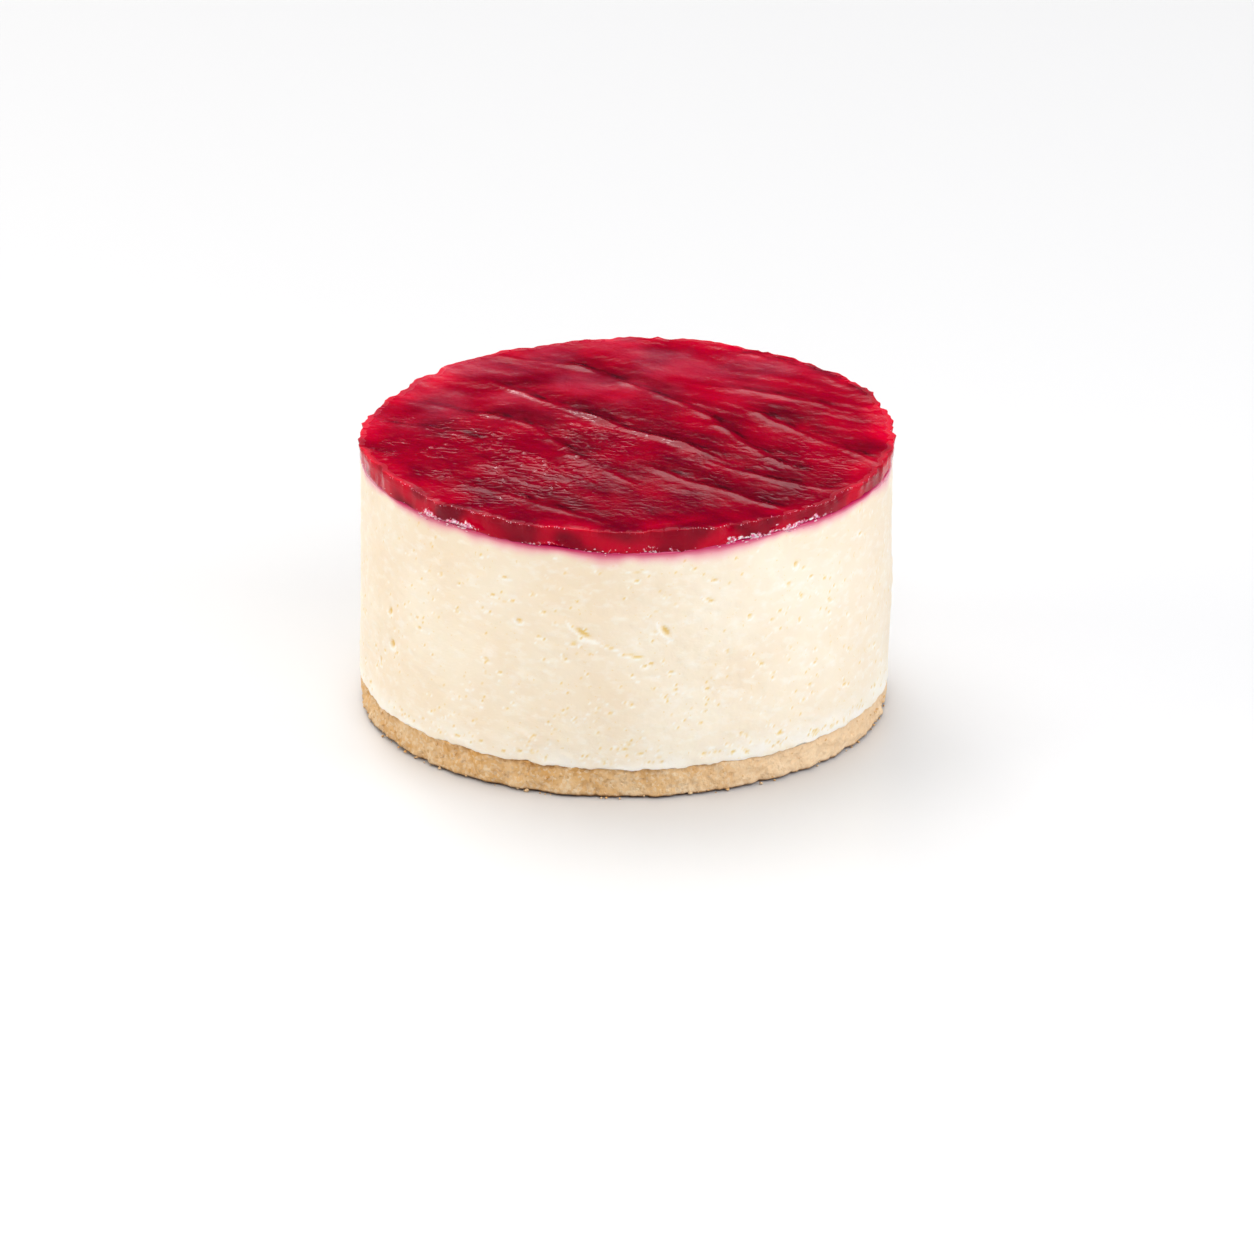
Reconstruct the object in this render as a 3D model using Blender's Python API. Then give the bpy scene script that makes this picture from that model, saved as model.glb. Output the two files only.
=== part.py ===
"""Individual baked cheesecake of three stacked layers: a pressed biscuit base, a thick cream cheese
filling and a set berry jelly. Metres, +Z up, with the origin at the middle of the underside."""

import math
import random

import bmesh
import bpy
from mathutils import Vector, noise

MM = 0.001

# Driving dimensions
CAKE_RADIUS = 37.5 * MM
CAKE_HEIGHT = 40.6 * MM
JELLY_THICKNESS = 3.5 * MM
BASE_THICKNESS = 4.7 * MM
LAYER_GAP = 0.3 * MM
BASE_INSET = 0.4 * MM
LEAN = 0.45 * MM
SEAM_TILT = 0.25 * MM

# Rounded edges of the layers
JELLY_SHOULDER = 0.4 * MM
JELLY_FOOT_ROUND = 0.2 * MM
FILLING_EDGE_ROUND = 0.35 * MM
BASE_EDGE_ROUND = 0.4 * MM

# The base's foot is worn under: how high its side ends above the floor, and how far in it then runs
BASE_FOOT_HEIGHT = 0.55 * MM
BASE_FOOT_INSET = 1.6 * MM

# Furrows across the jelly, left by the knife that spread it. Each ridge rises gently on its near side
# and drops on its far side to a valley, which rises slowly again. The strengths are a furrow's mean
# height and how it varies, and the fades are shares of its length beyond and before its ends.
VALLEY_SHARE = 0.5
FURROW_STRENGTH = 0.85
FURROW_VARIATION = 0.35
FURROW_VARIATION_LENGTH = 9.0 * MM
FADE_BEYOND = 0.10
FADE_BEFORE = 0.16
RIDGE_NEAR_WIDTH = 1.9 * MM
RIDGE_FAR_WIDTH = 1.2 * MM
VALLEY_OFFSET = 2.1 * MM
VALLEY_NEAR_WIDTH = 1.1 * MM
VALLEY_FAR_WIDTH = 4.0 * MM
FURROW_WANDER = 0.4 * MM
FURROW_WANDER_LENGTH = 15.0 * MM
SWELL_HEIGHT = 0.12 * MM
SWELL_LENGTH = 13.0 * MM

# How far the rim stands above or below the top's mean level, in mm, at these degrees round from the
# front towards +X, and where the top starts to slope to it
RIM_HEIGHTS = (
    (0.0, -0.7), (50.0, -0.85), (80.0, -0.7), (115.0, -0.1), (165.0, 0.0), (210.0, -0.5),
    (245.0, -1.4), (270.0, -0.8), (295.0, 0.0), (325.0, -0.4), (360.0, -0.7),
)
RIM_SLOPE_START = CAKE_RADIUS - 30.0 * MM
RIM_SLOPE_END = CAKE_RADIUS - 2.6 * MM

# The low lip where the jelly climbed the ring that it set in, and how far its height varies
LIP_HEIGHT = 0.22 * MM
LIP_VARIATION = 0.12 * MM
LIP_VARIATION_LENGTH = 7.0 * MM
LIP_INNER = CAKE_RADIUS - 3.2 * MM
LIP_OUTER = CAKE_RADIUS - 0.5 * MM
FURROW_LOSS_AT_LIP = 0.35

# Unevenness of the sides: how far they stand in or out, and over what length
RIM_SCALLOP = 0.36 * MM
RIM_SCALLOP_LENGTH = 4.6 * MM
RIM_WAVE = 0.15 * MM
RIM_WAVE_LENGTH = 13.0 * MM
SCALLOP_AT_FOOT = 0.25
FILLING_WAVE = 0.16 * MM
FILLING_WAVE_LENGTH = 9.0 * MM
CRUMB_RELIEF = 0.24 * MM
CRUMB_LENGTH = 2.6 * MM
GRAIN_RELIEF = 0.10 * MM
GRAIN_LENGTH = 1.3 * MM

# Linear colour and roughness of each layer
BISCUIT_COLOUR = (0.66, 0.42, 0.20)
BISCUIT_ROUGHNESS = 0.85
CREAM_COLOUR = (0.93, 0.82, 0.65)
CREAM_ROUGHNESS = 0.55
JELLY_COLOUR = (0.42, 0.006, 0.022)
JELLY_ROUGHNESS = 0.15

# Seeds of the noise and the draws
WANDER_SEED = 3.0
SWELL_SEED = 7.0
JELLY_SEED = 11.0
SCALLOP_SEED = 17.0
WAVE_SEED = 19.0
FILLING_SEED = 23.0
CRUMB_SEED = 29.0
GRAIN_SEED = 31.0
LIP_SEED = 33.0
PIT_SEED = 5

# Fineness of the meshes. The jelly's grid fills the middle of the top, with its corners rounded by
# mixing a square with a disc, and rings fill the rest.
JELLY_CELLS = 36
JELLY_RINGS = 8
GRID_SQUARE_SHARE = 0.25
GRID_DISC_SHARE = 0.43
JELLY_ROWS = 2
SIDE_SEGMENTS = 128
FILLING_ROWS = 10
BASE_SEGMENTS = 144
BASE_ROWS = 3
EDGE_STEPS = 2
OUTLINE_FADE = 4
SMOOTH_UNDER = math.radians(50.0)

# Air holes in the filling's side. The small ones' sizes and heights are in mm, like those of PITS.
SMALL_PIT_COUNT = 30
SMALL_PIT_SIZES = (0.5, 0.9)
LOWEST_PIT = 7.6
PIT_SPAN = 27.0
PIT_CROWDING = 1.4
PIT_DEPTH_SHARE = 0.45
PIT_SLOPE_SHARE = 0.25
PIT_MARGIN = 0.1 * MM
PIT_FACE_AREA = 3.0 * MM * MM


class Furrow:
    """One ridge of the spread jelly with the valley on its far side.

    Its start, end and bow are in cake radii, seen from above, and its ridge and valley in mm."""

    def __init__(self, start, end, bow, ridge, valley):
        self.start = CAKE_RADIUS * Vector(start)
        chord = CAKE_RADIUS * Vector(end) - self.start
        self.length = chord.length
        self.way = chord.normalized()
        self.bow = bow * CAKE_RADIUS
        self.ridge = ridge * MM
        self.valley = valley * MM

    def measure(self, place):
        """How far along the furrow a place lies, as a share of its length, and how far across it."""
        offset = place - self.start
        along = offset.dot(self.way) / self.length
        bend = 4.0 * self.bow * along * (1.0 - along)
        return along, offset.dot(Vector((-self.way.y, self.way.x))) - bend


FURROWS = (
    Furrow((-0.52, 0.55), (0.36, -0.30), -0.04, 0.46, 0.36),
    Furrow((0.26, -0.25), (0.82, -0.58), -0.06, 0.28, 0.26),
    Furrow((-0.27, 0.78), (0.36, 0.00), 0.03, 0.32, 0.30),
    Furrow((0.32, 0.04), (0.68, -0.44), -0.01, 0.24, 0.20),
    Furrow((0.42, 0.23), (0.93, -0.30), 0.01, 0.30, 0.28),
    Furrow((0.26, 0.48), (0.82, 0.20), 0.03, 0.16, 0.12),
    Furrow((-0.60, 0.24), (-0.20, -0.30), 0.07, 0.30, 0.30),
    Furrow((-0.24, -0.24), (0.04, -0.57), 0.00, 0.24, 0.18),
    Furrow((0.06, -0.36), (0.62, -0.79), -0.02, 0.24, 0.26),
    Furrow((-0.64, -0.54), (-0.06, -0.93), 0.02, 0.26, 0.24),
    Furrow((-0.98, 0.13), (-0.53, -0.13), 0.06, 0.16, 0.20),
    Furrow((-0.94, 0.42), (-0.58, 0.18), 0.05, 0.18, 0.14),
    Furrow((-0.52, 0.84), (-0.10, 0.61), 0.02, 0.18, 0.16),
    Furrow((0.38, 0.84), (0.90, 0.30), 0.08, 0.12, 0.30),
)


class Pit:
    """A hollow in the filling's side: degrees round from the front, height, width and tallness in mm."""

    def __init__(self, degrees, height, width, tallness):
        self.angle = math.radians(degrees - 90.0)
        self.height = height * MM
        self.width = width * MM
        self.tallness = tallness * MM
        self.depth = PIT_DEPTH_SHARE * self.tallness


# The large air holes and gouges, which sit where the cake shows them
PITS = (
    Pit(-9.0, 24.9, 1.6, 1.0),
    Pit(8.4, 25.2, 1.6, 0.9),
    Pit(2.2, 34.2, 1.7, 0.5),
    Pit(17.9, 29.2, 1.5, 0.7),
    Pit(38.6, 32.0, 1.0, 1.1),
    Pit(-61.0, 20.4, 1.3, 1.2),
    Pit(-60.0, 15.7, 1.3, 1.3),
    Pit(-66.0, 11.8, 1.1, 1.0),
    Pit(-23.0, 25.7, 1.2, 0.8),
    Pit(-26.3, 31.7, 1.0, 0.7),
    Pit(26.9, 26.0, 1.0, 0.9),
    Pit(40.3, 27.0, 0.9, 0.9),
)


def clear_scene():
    """Takes every object out of the scene, so that only the cake is in it."""
    for item in list(bpy.data.objects):
        bpy.data.objects.remove(item, do_unlink=True)


def food_material(name, colour, roughness):
    """A Principled material of one linear colour."""
    material = bpy.data.materials.new(name)
    material.use_nodes = True
    shader = material.node_tree.nodes["Principled BSDF"]
    shader.inputs["Base Color"].default_value = (*colour, 1.0)
    shader.inputs["Roughness"].default_value = roughness
    shader.inputs["Metallic"].default_value = 0.0
    return material


def unevenness(x, y, z, length, seed):
    """Smooth noise between about -1 and 1 whose bumps are about this long."""
    place = Vector((x, y, z)) / length
    return 2.0 * noise.noise(place + Vector((seed, 0.37 * seed, 0.71 * seed)))


def smooth_step(value, low, high):
    """Rises smoothly from 0 at low to 1 at high; low may be the larger."""
    share = min(max((value - low) / (high - low), 0.0), 1.0)
    return share * share * (3.0 - 2.0 * share)


def bell(offset, width):
    """A rounded hump that is 1 at its middle."""
    return math.exp(-((offset / width) ** 2))


def furrow_relief(x, y):
    """How far the knife's furrows stand above or below the jelly's mean level at this place."""
    wander = FURROW_WANDER * unevenness(x, y, 0.0, FURROW_WANDER_LENGTH, WANDER_SEED)
    relief = SWELL_HEIGHT * unevenness(x, y, 0.0, SWELL_LENGTH, SWELL_SEED)
    for number, furrow in enumerate(FURROWS):
        along, across = furrow.measure(Vector((x, y)))
        across += wander
        fade = smooth_step(along, -FADE_BEYOND, FADE_BEFORE)
        fade *= smooth_step(along, 1.0 + FADE_BEYOND, 1.0 - FADE_BEFORE)
        swing = unevenness(along * furrow.length, 0.0, 0.0, FURROW_VARIATION_LENGTH, JELLY_SEED + number)
        strength = fade * (FURROW_STRENGTH + FURROW_VARIATION * swing)
        beyond = across - VALLEY_OFFSET
        ridge = bell(across, RIDGE_NEAR_WIDTH if across < 0.0 else RIDGE_FAR_WIDTH)
        valley = bell(beyond, VALLEY_NEAR_WIDTH if beyond < 0.0 else VALLEY_FAR_WIDTH)
        relief += strength * (furrow.ridge * ridge - VALLEY_SHARE * furrow.valley * valley)
    return relief


def rim_height(angle):
    """How far the rim stands above the top's mean level, eased between the named places."""
    turn = math.degrees(angle + 0.5 * math.pi) % 360.0
    for (before, low), (after, high) in zip(RIM_HEIGHTS, RIM_HEIGHTS[1:]):
        if turn <= after:
            return MM * (low + (high - low) * smooth_step(turn, before, after))
    return MM * RIM_HEIGHTS[-1][1]


def jelly_relief(x, y):
    """How far the jelly's top stands above or below its mean level: furrows, slope to the rim, lip."""
    angle = math.atan2(y, x)
    reach = math.hypot(x, y)
    slope = smooth_step(reach, RIM_SLOPE_START, RIM_SLOPE_END)
    lip = smooth_step(reach, LIP_INNER, LIP_OUTER)
    rim_x = CAKE_RADIUS * math.cos(angle)
    rim_y = CAKE_RADIUS * math.sin(angle)
    swing = LIP_VARIATION * unevenness(rim_x, rim_y, 0.0, LIP_VARIATION_LENGTH, LIP_SEED)
    relief = furrow_relief(x, y) * (1.0 - FURROW_LOSS_AT_LIP * lip)
    return relief + slope * (rim_height(angle) - LIP_HEIGHT) + lip * (LIP_HEIGHT + swing)


def jelly_outline(angle, height):
    """How far the jelly's edge stands out or in: scallops at the rim, almost round at the foot."""
    x = CAKE_RADIUS * math.cos(angle)
    y = CAKE_RADIUS * math.sin(angle)
    share = (height - (CAKE_HEIGHT - JELLY_THICKNESS)) / JELLY_THICKNESS
    scallop = RIM_SCALLOP * unevenness(x, y, 0.0, RIM_SCALLOP_LENGTH, SCALLOP_SEED)
    wave = RIM_WAVE * unevenness(x, y, 0.0, RIM_WAVE_LENGTH, WAVE_SEED)
    return (SCALLOP_AT_FOOT + (1.0 - SCALLOP_AT_FOOT) * share) * (scallop + wave)


def filling_outline(angle, height):
    """How far the filling's side stands out or in, from the ring that it was set in."""
    x = CAKE_RADIUS * math.cos(angle)
    y = CAKE_RADIUS * math.sin(angle)
    return FILLING_WAVE * unevenness(x, y, height, FILLING_WAVE_LENGTH, FILLING_SEED)


def base_outline(angle, height):
    """How far the biscuit's side stands out or in, crumb by crumb."""
    x = CAKE_RADIUS * math.cos(angle)
    y = CAKE_RADIUS * math.sin(angle)
    crumb = CRUMB_RELIEF * unevenness(x, y, height, CRUMB_LENGTH, CRUMB_SEED)
    return crumb + GRAIN_RELIEF * unevenness(x, y, height, GRAIN_LENGTH, GRAIN_SEED)


def side_rows(top, foot, top_round, foot_height, foot_inset, straight_rows):
    """The rings of a side from its top's rim down to its foot, as (inset, height) pairs."""
    rows = []
    for step in range(EDGE_STEPS + 1):
        turn = 0.5 * math.pi * step / EDGE_STEPS
        rows.append((top_round * (1.0 - math.sin(turn)), top - top_round * (1.0 - math.cos(turn))))
    straight_top = top - top_round
    straight_foot = foot + foot_height
    for step in range(1, straight_rows + 1):
        rows.append((0.0, straight_top + (straight_foot - straight_top) * step / straight_rows))
    rows.append((foot_inset, foot))
    return rows


def grow_ring(shape, edges):
    """Extrudes the open edge of a shape, and returns the new edge with its points."""
    grown = bmesh.ops.extrude_edge_only(shape, edges=edges)["geom"]
    edges = [item for item in grown if isinstance(item, bmesh.types.BMEdge) and item.is_boundary]
    return edges, {vertex for edge in edges for vertex in edge.verts}


def woven_disc(cells, rings):
    """A flat unit disc: a grid with rounded corners in the middle, and rings from it to the rim."""
    shape = bmesh.new()
    bmesh.ops.create_grid(shape, x_segments=cells, y_segments=cells, size=1.0)
    for vertex in shape.verts:
        u = 0.25 * math.pi * vertex.co.x
        v = 0.25 * math.pi * vertex.co.y
        round_place = Vector((math.sin(u) * math.cos(v), math.cos(u) * math.sin(v), 0.0))
        vertex.co = GRID_SQUARE_SHARE * vertex.co + GRID_DISC_SHARE * round_place
    edges = [edge for edge in shape.edges if edge.is_boundary]
    for rings_left in range(rings, 0, -1):
        edges, points = grow_ring(shape, edges)
        for vertex in points:
            reach = vertex.co.length
            vertex.co *= 1.0 + (1.0 - reach) / (rings_left * reach)
    return shape


def plain_disc(segments):
    """A flat unit disc of one face."""
    shape = bmesh.new()
    bmesh.ops.create_circle(shape, cap_ends=True, segments=segments, radius=1.0)
    return shape


def layer_shape(shape, radius, rows, outline, relief):
    """Grows a unit disc into a closed layer: its top, rings of side below the rim, a flat foot."""
    rim_inset, top = rows[0]
    foot = rows[-1][1]
    for vertex in shape.verts:
        angle = math.atan2(vertex.co.y, vertex.co.x)
        share = math.hypot(vertex.co.x, vertex.co.y)
        reach = share * (radius - rim_inset) + share**OUTLINE_FADE * outline(angle, top)
        x = reach * math.cos(angle)
        y = reach * math.sin(angle)
        vertex.co = (x, y, top + relief(x, y))
    edges = [edge for edge in shape.edges if edge.is_boundary]
    for inset, height in rows[1:]:
        edges, points = grow_ring(shape, edges)
        fade = (height - foot) / (top - foot)
        for vertex in points:
            angle = math.atan2(vertex.co.y, vertex.co.x)
            reach = radius - inset + outline(angle, height)
            x = reach * math.cos(angle)
            y = reach * math.sin(angle)
            vertex.co = (x, y, height + fade * relief(x, y))
    bmesh.ops.edgeloop_fill(shape, edges=edges)
    bmesh.ops.recalc_face_normals(shape, faces=shape.faces)
    return shape


def press_pit(shape, pit):
    """Opens a rounded hollow inside the side face that lies nearest to the pit's place."""
    place = Vector((CAKE_RADIUS * math.cos(pit.angle), CAKE_RADIUS * math.sin(pit.angle), pit.height))
    sides = [face for face in shape.faces if len(face.verts) == 4 and face.calc_area() > PIT_FACE_AREA]
    face = min(sides, key=lambda side: (side.calc_center_median() - place).length)
    middle = face.calc_center_median()
    outward = face.normal.copy()
    sideways = Vector((0.0, 0.0, 1.0)).cross(outward).normalized()
    upward = outward.cross(sideways)
    bmesh.ops.inset_individual(shape, faces=[face], thickness=PIT_MARGIN)
    bmesh.ops.subdivide_edges(shape, edges=list(face.edges), cuts=1)
    mouth = min(shape.faces, key=lambda side: (side.calc_center_median() - middle).length)
    for corner in mouth.verts:
        offset = corner.co - middle
        turn = math.atan2(offset.dot(upward), offset.dot(sideways))
        reach_over = 0.5 * pit.width * math.cos(turn) * sideways
        reach_up = 0.5 * pit.tallness * math.sin(turn) * upward
        corner.co = middle + reach_over + reach_up
    slope = PIT_SLOPE_SHARE * pit.tallness
    bmesh.ops.inset_individual(shape, faces=[mouth], thickness=slope, depth=-pit.depth)


def small_pits():
    """The lesser air holes, drawn from one seed, thicker low down where the filling baked first."""
    draw = random.Random(PIT_SEED)
    found = []
    for _ in range(SMALL_PIT_COUNT):
        height = LOWEST_PIT + PIT_SPAN * draw.random() ** PIT_CROWDING
        size = draw.uniform(*SMALL_PIT_SIZES)
        found.append(Pit(draw.uniform(0.0, 360.0), height, size, size))
    return found


def settle(shape):
    """Leans the layers sideways with height, and tilts the seam above the base a little."""
    for vertex in shape.verts:
        below = vertex.co.z / BASE_THICKNESS
        above = (CAKE_HEIGHT - vertex.co.z) / (CAKE_HEIGHT - BASE_THICKNESS)
        vertex.co.z -= SEAM_TILT * vertex.co.x / CAKE_RADIUS * max(min(below, above), 0.0)
        vertex.co.x += LEAN * (vertex.co.z / CAKE_HEIGHT - 0.5)


def add_layer(name, shape, material, collection):
    """Makes the shape an object of the cake, shaded smooth but for its hard edges."""
    settle(shape)
    mesh = bpy.data.meshes.new(name)
    shape.to_mesh(mesh)
    shape.free()
    mesh.materials.append(material)
    mesh.shade_smooth()
    mesh.set_sharp_from_angle(angle=SMOOTH_UNDER)
    layer = bpy.data.objects.new(name, mesh)
    collection.objects.link(layer)
    return layer


def level(_x, _y):
    """No relief: a layer's face that lies flat against its neighbour."""
    return 0.0


def biscuit_base(collection):
    """The pressed crumb disc that carries the cake."""
    top = BASE_THICKNESS - 0.5 * LAYER_GAP
    rows = side_rows(top, 0.0, BASE_EDGE_ROUND, BASE_FOOT_HEIGHT, BASE_FOOT_INSET, BASE_ROWS)
    shape = layer_shape(plain_disc(BASE_SEGMENTS), CAKE_RADIUS - BASE_INSET, rows, base_outline, level)
    crumb = food_material("biscuit_crumb", BISCUIT_COLOUR, BISCUIT_ROUGHNESS)
    return add_layer("biscuit_base", shape, crumb, collection)


def cheese_filling(collection):
    """The cream cheese layer, with the air holes that show in its side."""
    top = CAKE_HEIGHT - JELLY_THICKNESS - 0.5 * LAYER_GAP
    foot = BASE_THICKNESS + 0.5 * LAYER_GAP
    rows = side_rows(top, foot, FILLING_EDGE_ROUND, FILLING_EDGE_ROUND, FILLING_EDGE_ROUND, FILLING_ROWS)
    shape = layer_shape(plain_disc(SIDE_SEGMENTS), CAKE_RADIUS, rows, filling_outline, level)
    for pit in (*PITS, *small_pits()):
        press_pit(shape, pit)
    cream = food_material("cream_cheese", CREAM_COLOUR, CREAM_ROUGHNESS)
    return add_layer("cheese_filling", shape, cream, collection)


def berry_jelly(collection):
    """The set jelly, furrowed on top and scalloped round its rim."""
    foot = CAKE_HEIGHT - JELLY_THICKNESS + 0.5 * LAYER_GAP
    rows = side_rows(CAKE_HEIGHT, foot, JELLY_SHOULDER, JELLY_FOOT_ROUND, JELLY_FOOT_ROUND, JELLY_ROWS)
    disc = woven_disc(JELLY_CELLS, JELLY_RINGS)
    shape = layer_shape(disc, CAKE_RADIUS, rows, jelly_outline, jelly_relief)
    jelly = food_material("berry_jelly", JELLY_COLOUR, JELLY_ROUGHNESS)
    return add_layer("berry_jelly", shape, jelly, collection)


def main():
    """Builds the cake from the bottom up."""
    clear_scene()
    cake = bpy.data.collections.new("individual_cheesecake")
    bpy.context.scene.collection.children.link(cake)
    biscuit_base(cake)
    cheese_filling(cake)
    berry_jelly(cake)


main()
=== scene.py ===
"""Looks of an individual baked cheesecake: biscuit base, cream cheese filling and berry jelly."""

import logging
import math
from dataclasses import dataclass, field
from enum import Enum

import bmesh
import bpy
import numpy as np
from mathutils import Matrix, Vector, noise


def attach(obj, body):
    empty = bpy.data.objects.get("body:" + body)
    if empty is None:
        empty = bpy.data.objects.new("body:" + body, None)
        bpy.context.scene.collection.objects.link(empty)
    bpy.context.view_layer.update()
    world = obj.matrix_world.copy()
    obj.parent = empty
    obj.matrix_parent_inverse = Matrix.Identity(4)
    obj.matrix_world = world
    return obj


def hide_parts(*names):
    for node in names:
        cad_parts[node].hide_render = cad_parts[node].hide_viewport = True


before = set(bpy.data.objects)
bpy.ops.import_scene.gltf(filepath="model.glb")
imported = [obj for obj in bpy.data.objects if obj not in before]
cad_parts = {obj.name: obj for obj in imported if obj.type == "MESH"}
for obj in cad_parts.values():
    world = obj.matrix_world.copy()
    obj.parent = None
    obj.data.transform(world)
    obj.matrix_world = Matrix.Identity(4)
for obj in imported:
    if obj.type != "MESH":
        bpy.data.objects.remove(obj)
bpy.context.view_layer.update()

LOG = logging.getLogger("cheesecake")
MM = 0.001
BODY = "root"
Socket = bpy.types.NodeSocket

# The cake's driving sizes, as its solids have them
CAKE_RADIUS = 37.5 * MM
CAKE_HEIGHT = 40.6 * MM
JELLY_SEAM = 37.1 * MM
BASE_SEAM = 4.7 * MM
BASE_INSET = 0.4 * MM
LEAN = 0.45 * MM
SEAM_TILT = 0.25 * MM

# How far the jelly's rim stands above or below the top's mean level, in mm, at these degrees round
# from the front towards +X
RIM_HEIGHTS = (
    (0.0, -0.7), (50.0, -0.85), (80.0, -0.7), (115.0, -0.1), (165.0, 0.0), (210.0, -0.5),
    (245.0, -1.4), (270.0, -0.8), (295.0, 0.0), (325.0, -0.4), (360.0, -0.7),
)

# The jelly's lower edge hangs lower in front than elsewhere: how far it dips there, how wide that
# dip is round the cake, and how far the edge is lifted all round the rest
SEAM_DIP = 0.20 * MM
SEAM_DIP_WIDTH = math.radians(27.0)
SEAM_LIFT = 0.65 * MM

# The way that the spreading knife went over the jelly, in degrees from +X
KNIFE_WAY = -45.0


class Layer(Enum):
    """The cake's solids, by the names of their nodes."""

    BASE = "biscuit_base"
    FILLING = "cheese_filling"
    JELLY = "berry_jelly"


class Slot(Enum):
    """The record's material slots."""

    CRUMB = "biscuit_crumb"
    CREAM = "cream_cheese"
    JELLY = "berry_jelly"


def linear(hex_colour: str) -> tuple[float, float, float, float]:
    """Turns an sRGB hex colour into linear light.

    Args:
        hex_colour: six hex digits, such as "f6e8cc".

    Returns:
        Red, green, blue and an alpha of 1.
    """
    channels = [int(hex_colour[place:place + 2], 16) / 255.0 for place in (0, 2, 4)]
    light = [c / 12.92 if c <= 0.04045 else ((c + 0.055) / 1.055) ** 2.4 for c in channels]
    return (light[0], light[1], light[2], 1.0)


def bumps(points: np.ndarray, length: float, seed: float) -> np.ndarray:
    """Smooth noise between about -1 and 1, whose bumps are about as long as asked.

    Args:
        points: places, one to a row, in metres.
        length: the size of a bump, in metres.
        seed: shifts the noise, so that two fields differ.

    Returns:
        One value for each point.
    """
    places = points / length + seed * np.array((1.0, 0.37, 0.71))
    return np.array([2.0 * noise.noise(Vector(place)) for place in places])


def turned(points: np.ndarray, heading: float, along: float, across: float) -> np.ndarray:
    """Turns places so that a heading lies along X, then divides each way by a length.

    Args:
        points: places, one to a row.
        heading: the angle of the long way from +X, in radians.
        along: the length along the heading that becomes 1.
        across: the length across it, and upwards, that becomes 1.

    Returns:
        The places in units of those lengths.
    """
    cosine, sine = math.cos(heading), math.sin(heading)
    far = points[:, 0] * cosine + points[:, 1] * sine
    wide = points[:, 1] * cosine - points[:, 0] * sine
    return np.stack((far / along, wide / across, points[:, 2] / across), axis=1)


def smooth_step(values: np.ndarray, low: float, high: float) -> np.ndarray:
    """Rises smoothly from 0 at low to 1 at high; low may be the larger."""
    share = np.clip((values - low) / (high - low), 0.0, 1.0)
    return share * share * (3.0 - 2.0 * share)


@dataclass(frozen=True)
class Relief:
    """Smooth bumps: their height and length in mm, and a seed; across and heading make them long."""

    height: float
    length: float
    seed: float
    across: float = 0.0
    heading: float = 0.0

    def at(self, points: np.ndarray) -> np.ndarray:
        """How far the bumps stand out.

        Args:
            points: places, one to a row, in metres.

        Returns:
            A height for each place, in metres.
        """
        places, length = points, self.length * MM
        if self.across:
            places = turned(points, math.radians(self.heading), length, self.across * MM)
            length = 1.0
        return self.height * MM * bumps(places, length, self.seed)


def standing(reliefs: tuple[Relief, ...], points: np.ndarray) -> np.ndarray:
    """How far several sets of bumps stand out together at each of these places, in metres."""
    return sum(relief.at(points) for relief in reliefs)


@dataclass(frozen=True)
class Zone:
    """A round part of the top, in cake radii: its middle, where it ends, and where it is whole."""

    x: float
    y: float
    outer: float
    inner: float
    strength: float = 1.0

    def share(self, flat: np.ndarray) -> np.ndarray:
        """How much each place belongs to the zone, from 0 to the zone's strength."""
        away = np.hypot(flat[:, 0] / CAKE_RADIUS - self.x, flat[:, 1] / CAKE_RADIUS - self.y)
        return self.strength * smooth_step(away, self.outer, self.inner)


def near_rim(reach: np.ndarray, start: float, end: float) -> np.ndarray:
    """Rises from 0 to 1 outwards, between two distances inside the cake's full radius, in mm."""
    return smooth_step(reach, CAKE_RADIUS - start * MM, CAKE_RADIUS - end * MM)


def grow_ring(shape: bmesh.types.BMesh, edges: list) -> tuple[list, list]:
    """Extrudes the open edge of a shape.

    Args:
        shape: the shape that grows.
        edges: its open edge.

    Returns:
        The new open edge, and the points on it.
    """
    grown = bmesh.ops.extrude_edge_only(shape, edges=edges)["geom"]
    edges = [item for item in grown if isinstance(item, bmesh.types.BMEdge) and item.is_boundary]
    return edges, [item for item in grown if isinstance(item, bmesh.types.BMVert)]


def woven_disc(cells: int, rings: int) -> bmesh.types.BMesh:
    """A flat unit disc: a grid with rounded corners in the middle, and rings from it to the rim.

    Args:
        cells: squares along one side of the grid.
        rings: rings of faces between the grid and the rim.

    Returns:
        The open disc.
    """
    square_share, disc_share = 0.25, 0.43
    shape = bmesh.new()
    bmesh.ops.create_grid(shape, x_segments=cells, y_segments=cells, size=1.0)
    for vertex in shape.verts:
        u = 0.25 * math.pi * vertex.co.x
        v = 0.25 * math.pi * vertex.co.y
        round_place = Vector((math.sin(u) * math.cos(v), math.cos(u) * math.sin(v), 0.0))
        vertex.co = square_share * vertex.co + disc_share * round_place
    edges = [edge for edge in shape.edges if edge.is_boundary]
    for rings_left in range(rings, 0, -1):
        edges, points = grow_ring(shape, edges)
        for vertex in points:
            reach = vertex.co.length
            vertex.co *= 1.0 + (1.0 - reach) / (rings_left * reach)
    return shape


def plain_disc(segments: int) -> bmesh.types.BMesh:
    """A flat unit disc of one face, with this many sides."""
    shape = bmesh.new()
    bmesh.ops.create_circle(shape, cap_ends=True, segments=segments, radius=1.0)
    return shape


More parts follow.
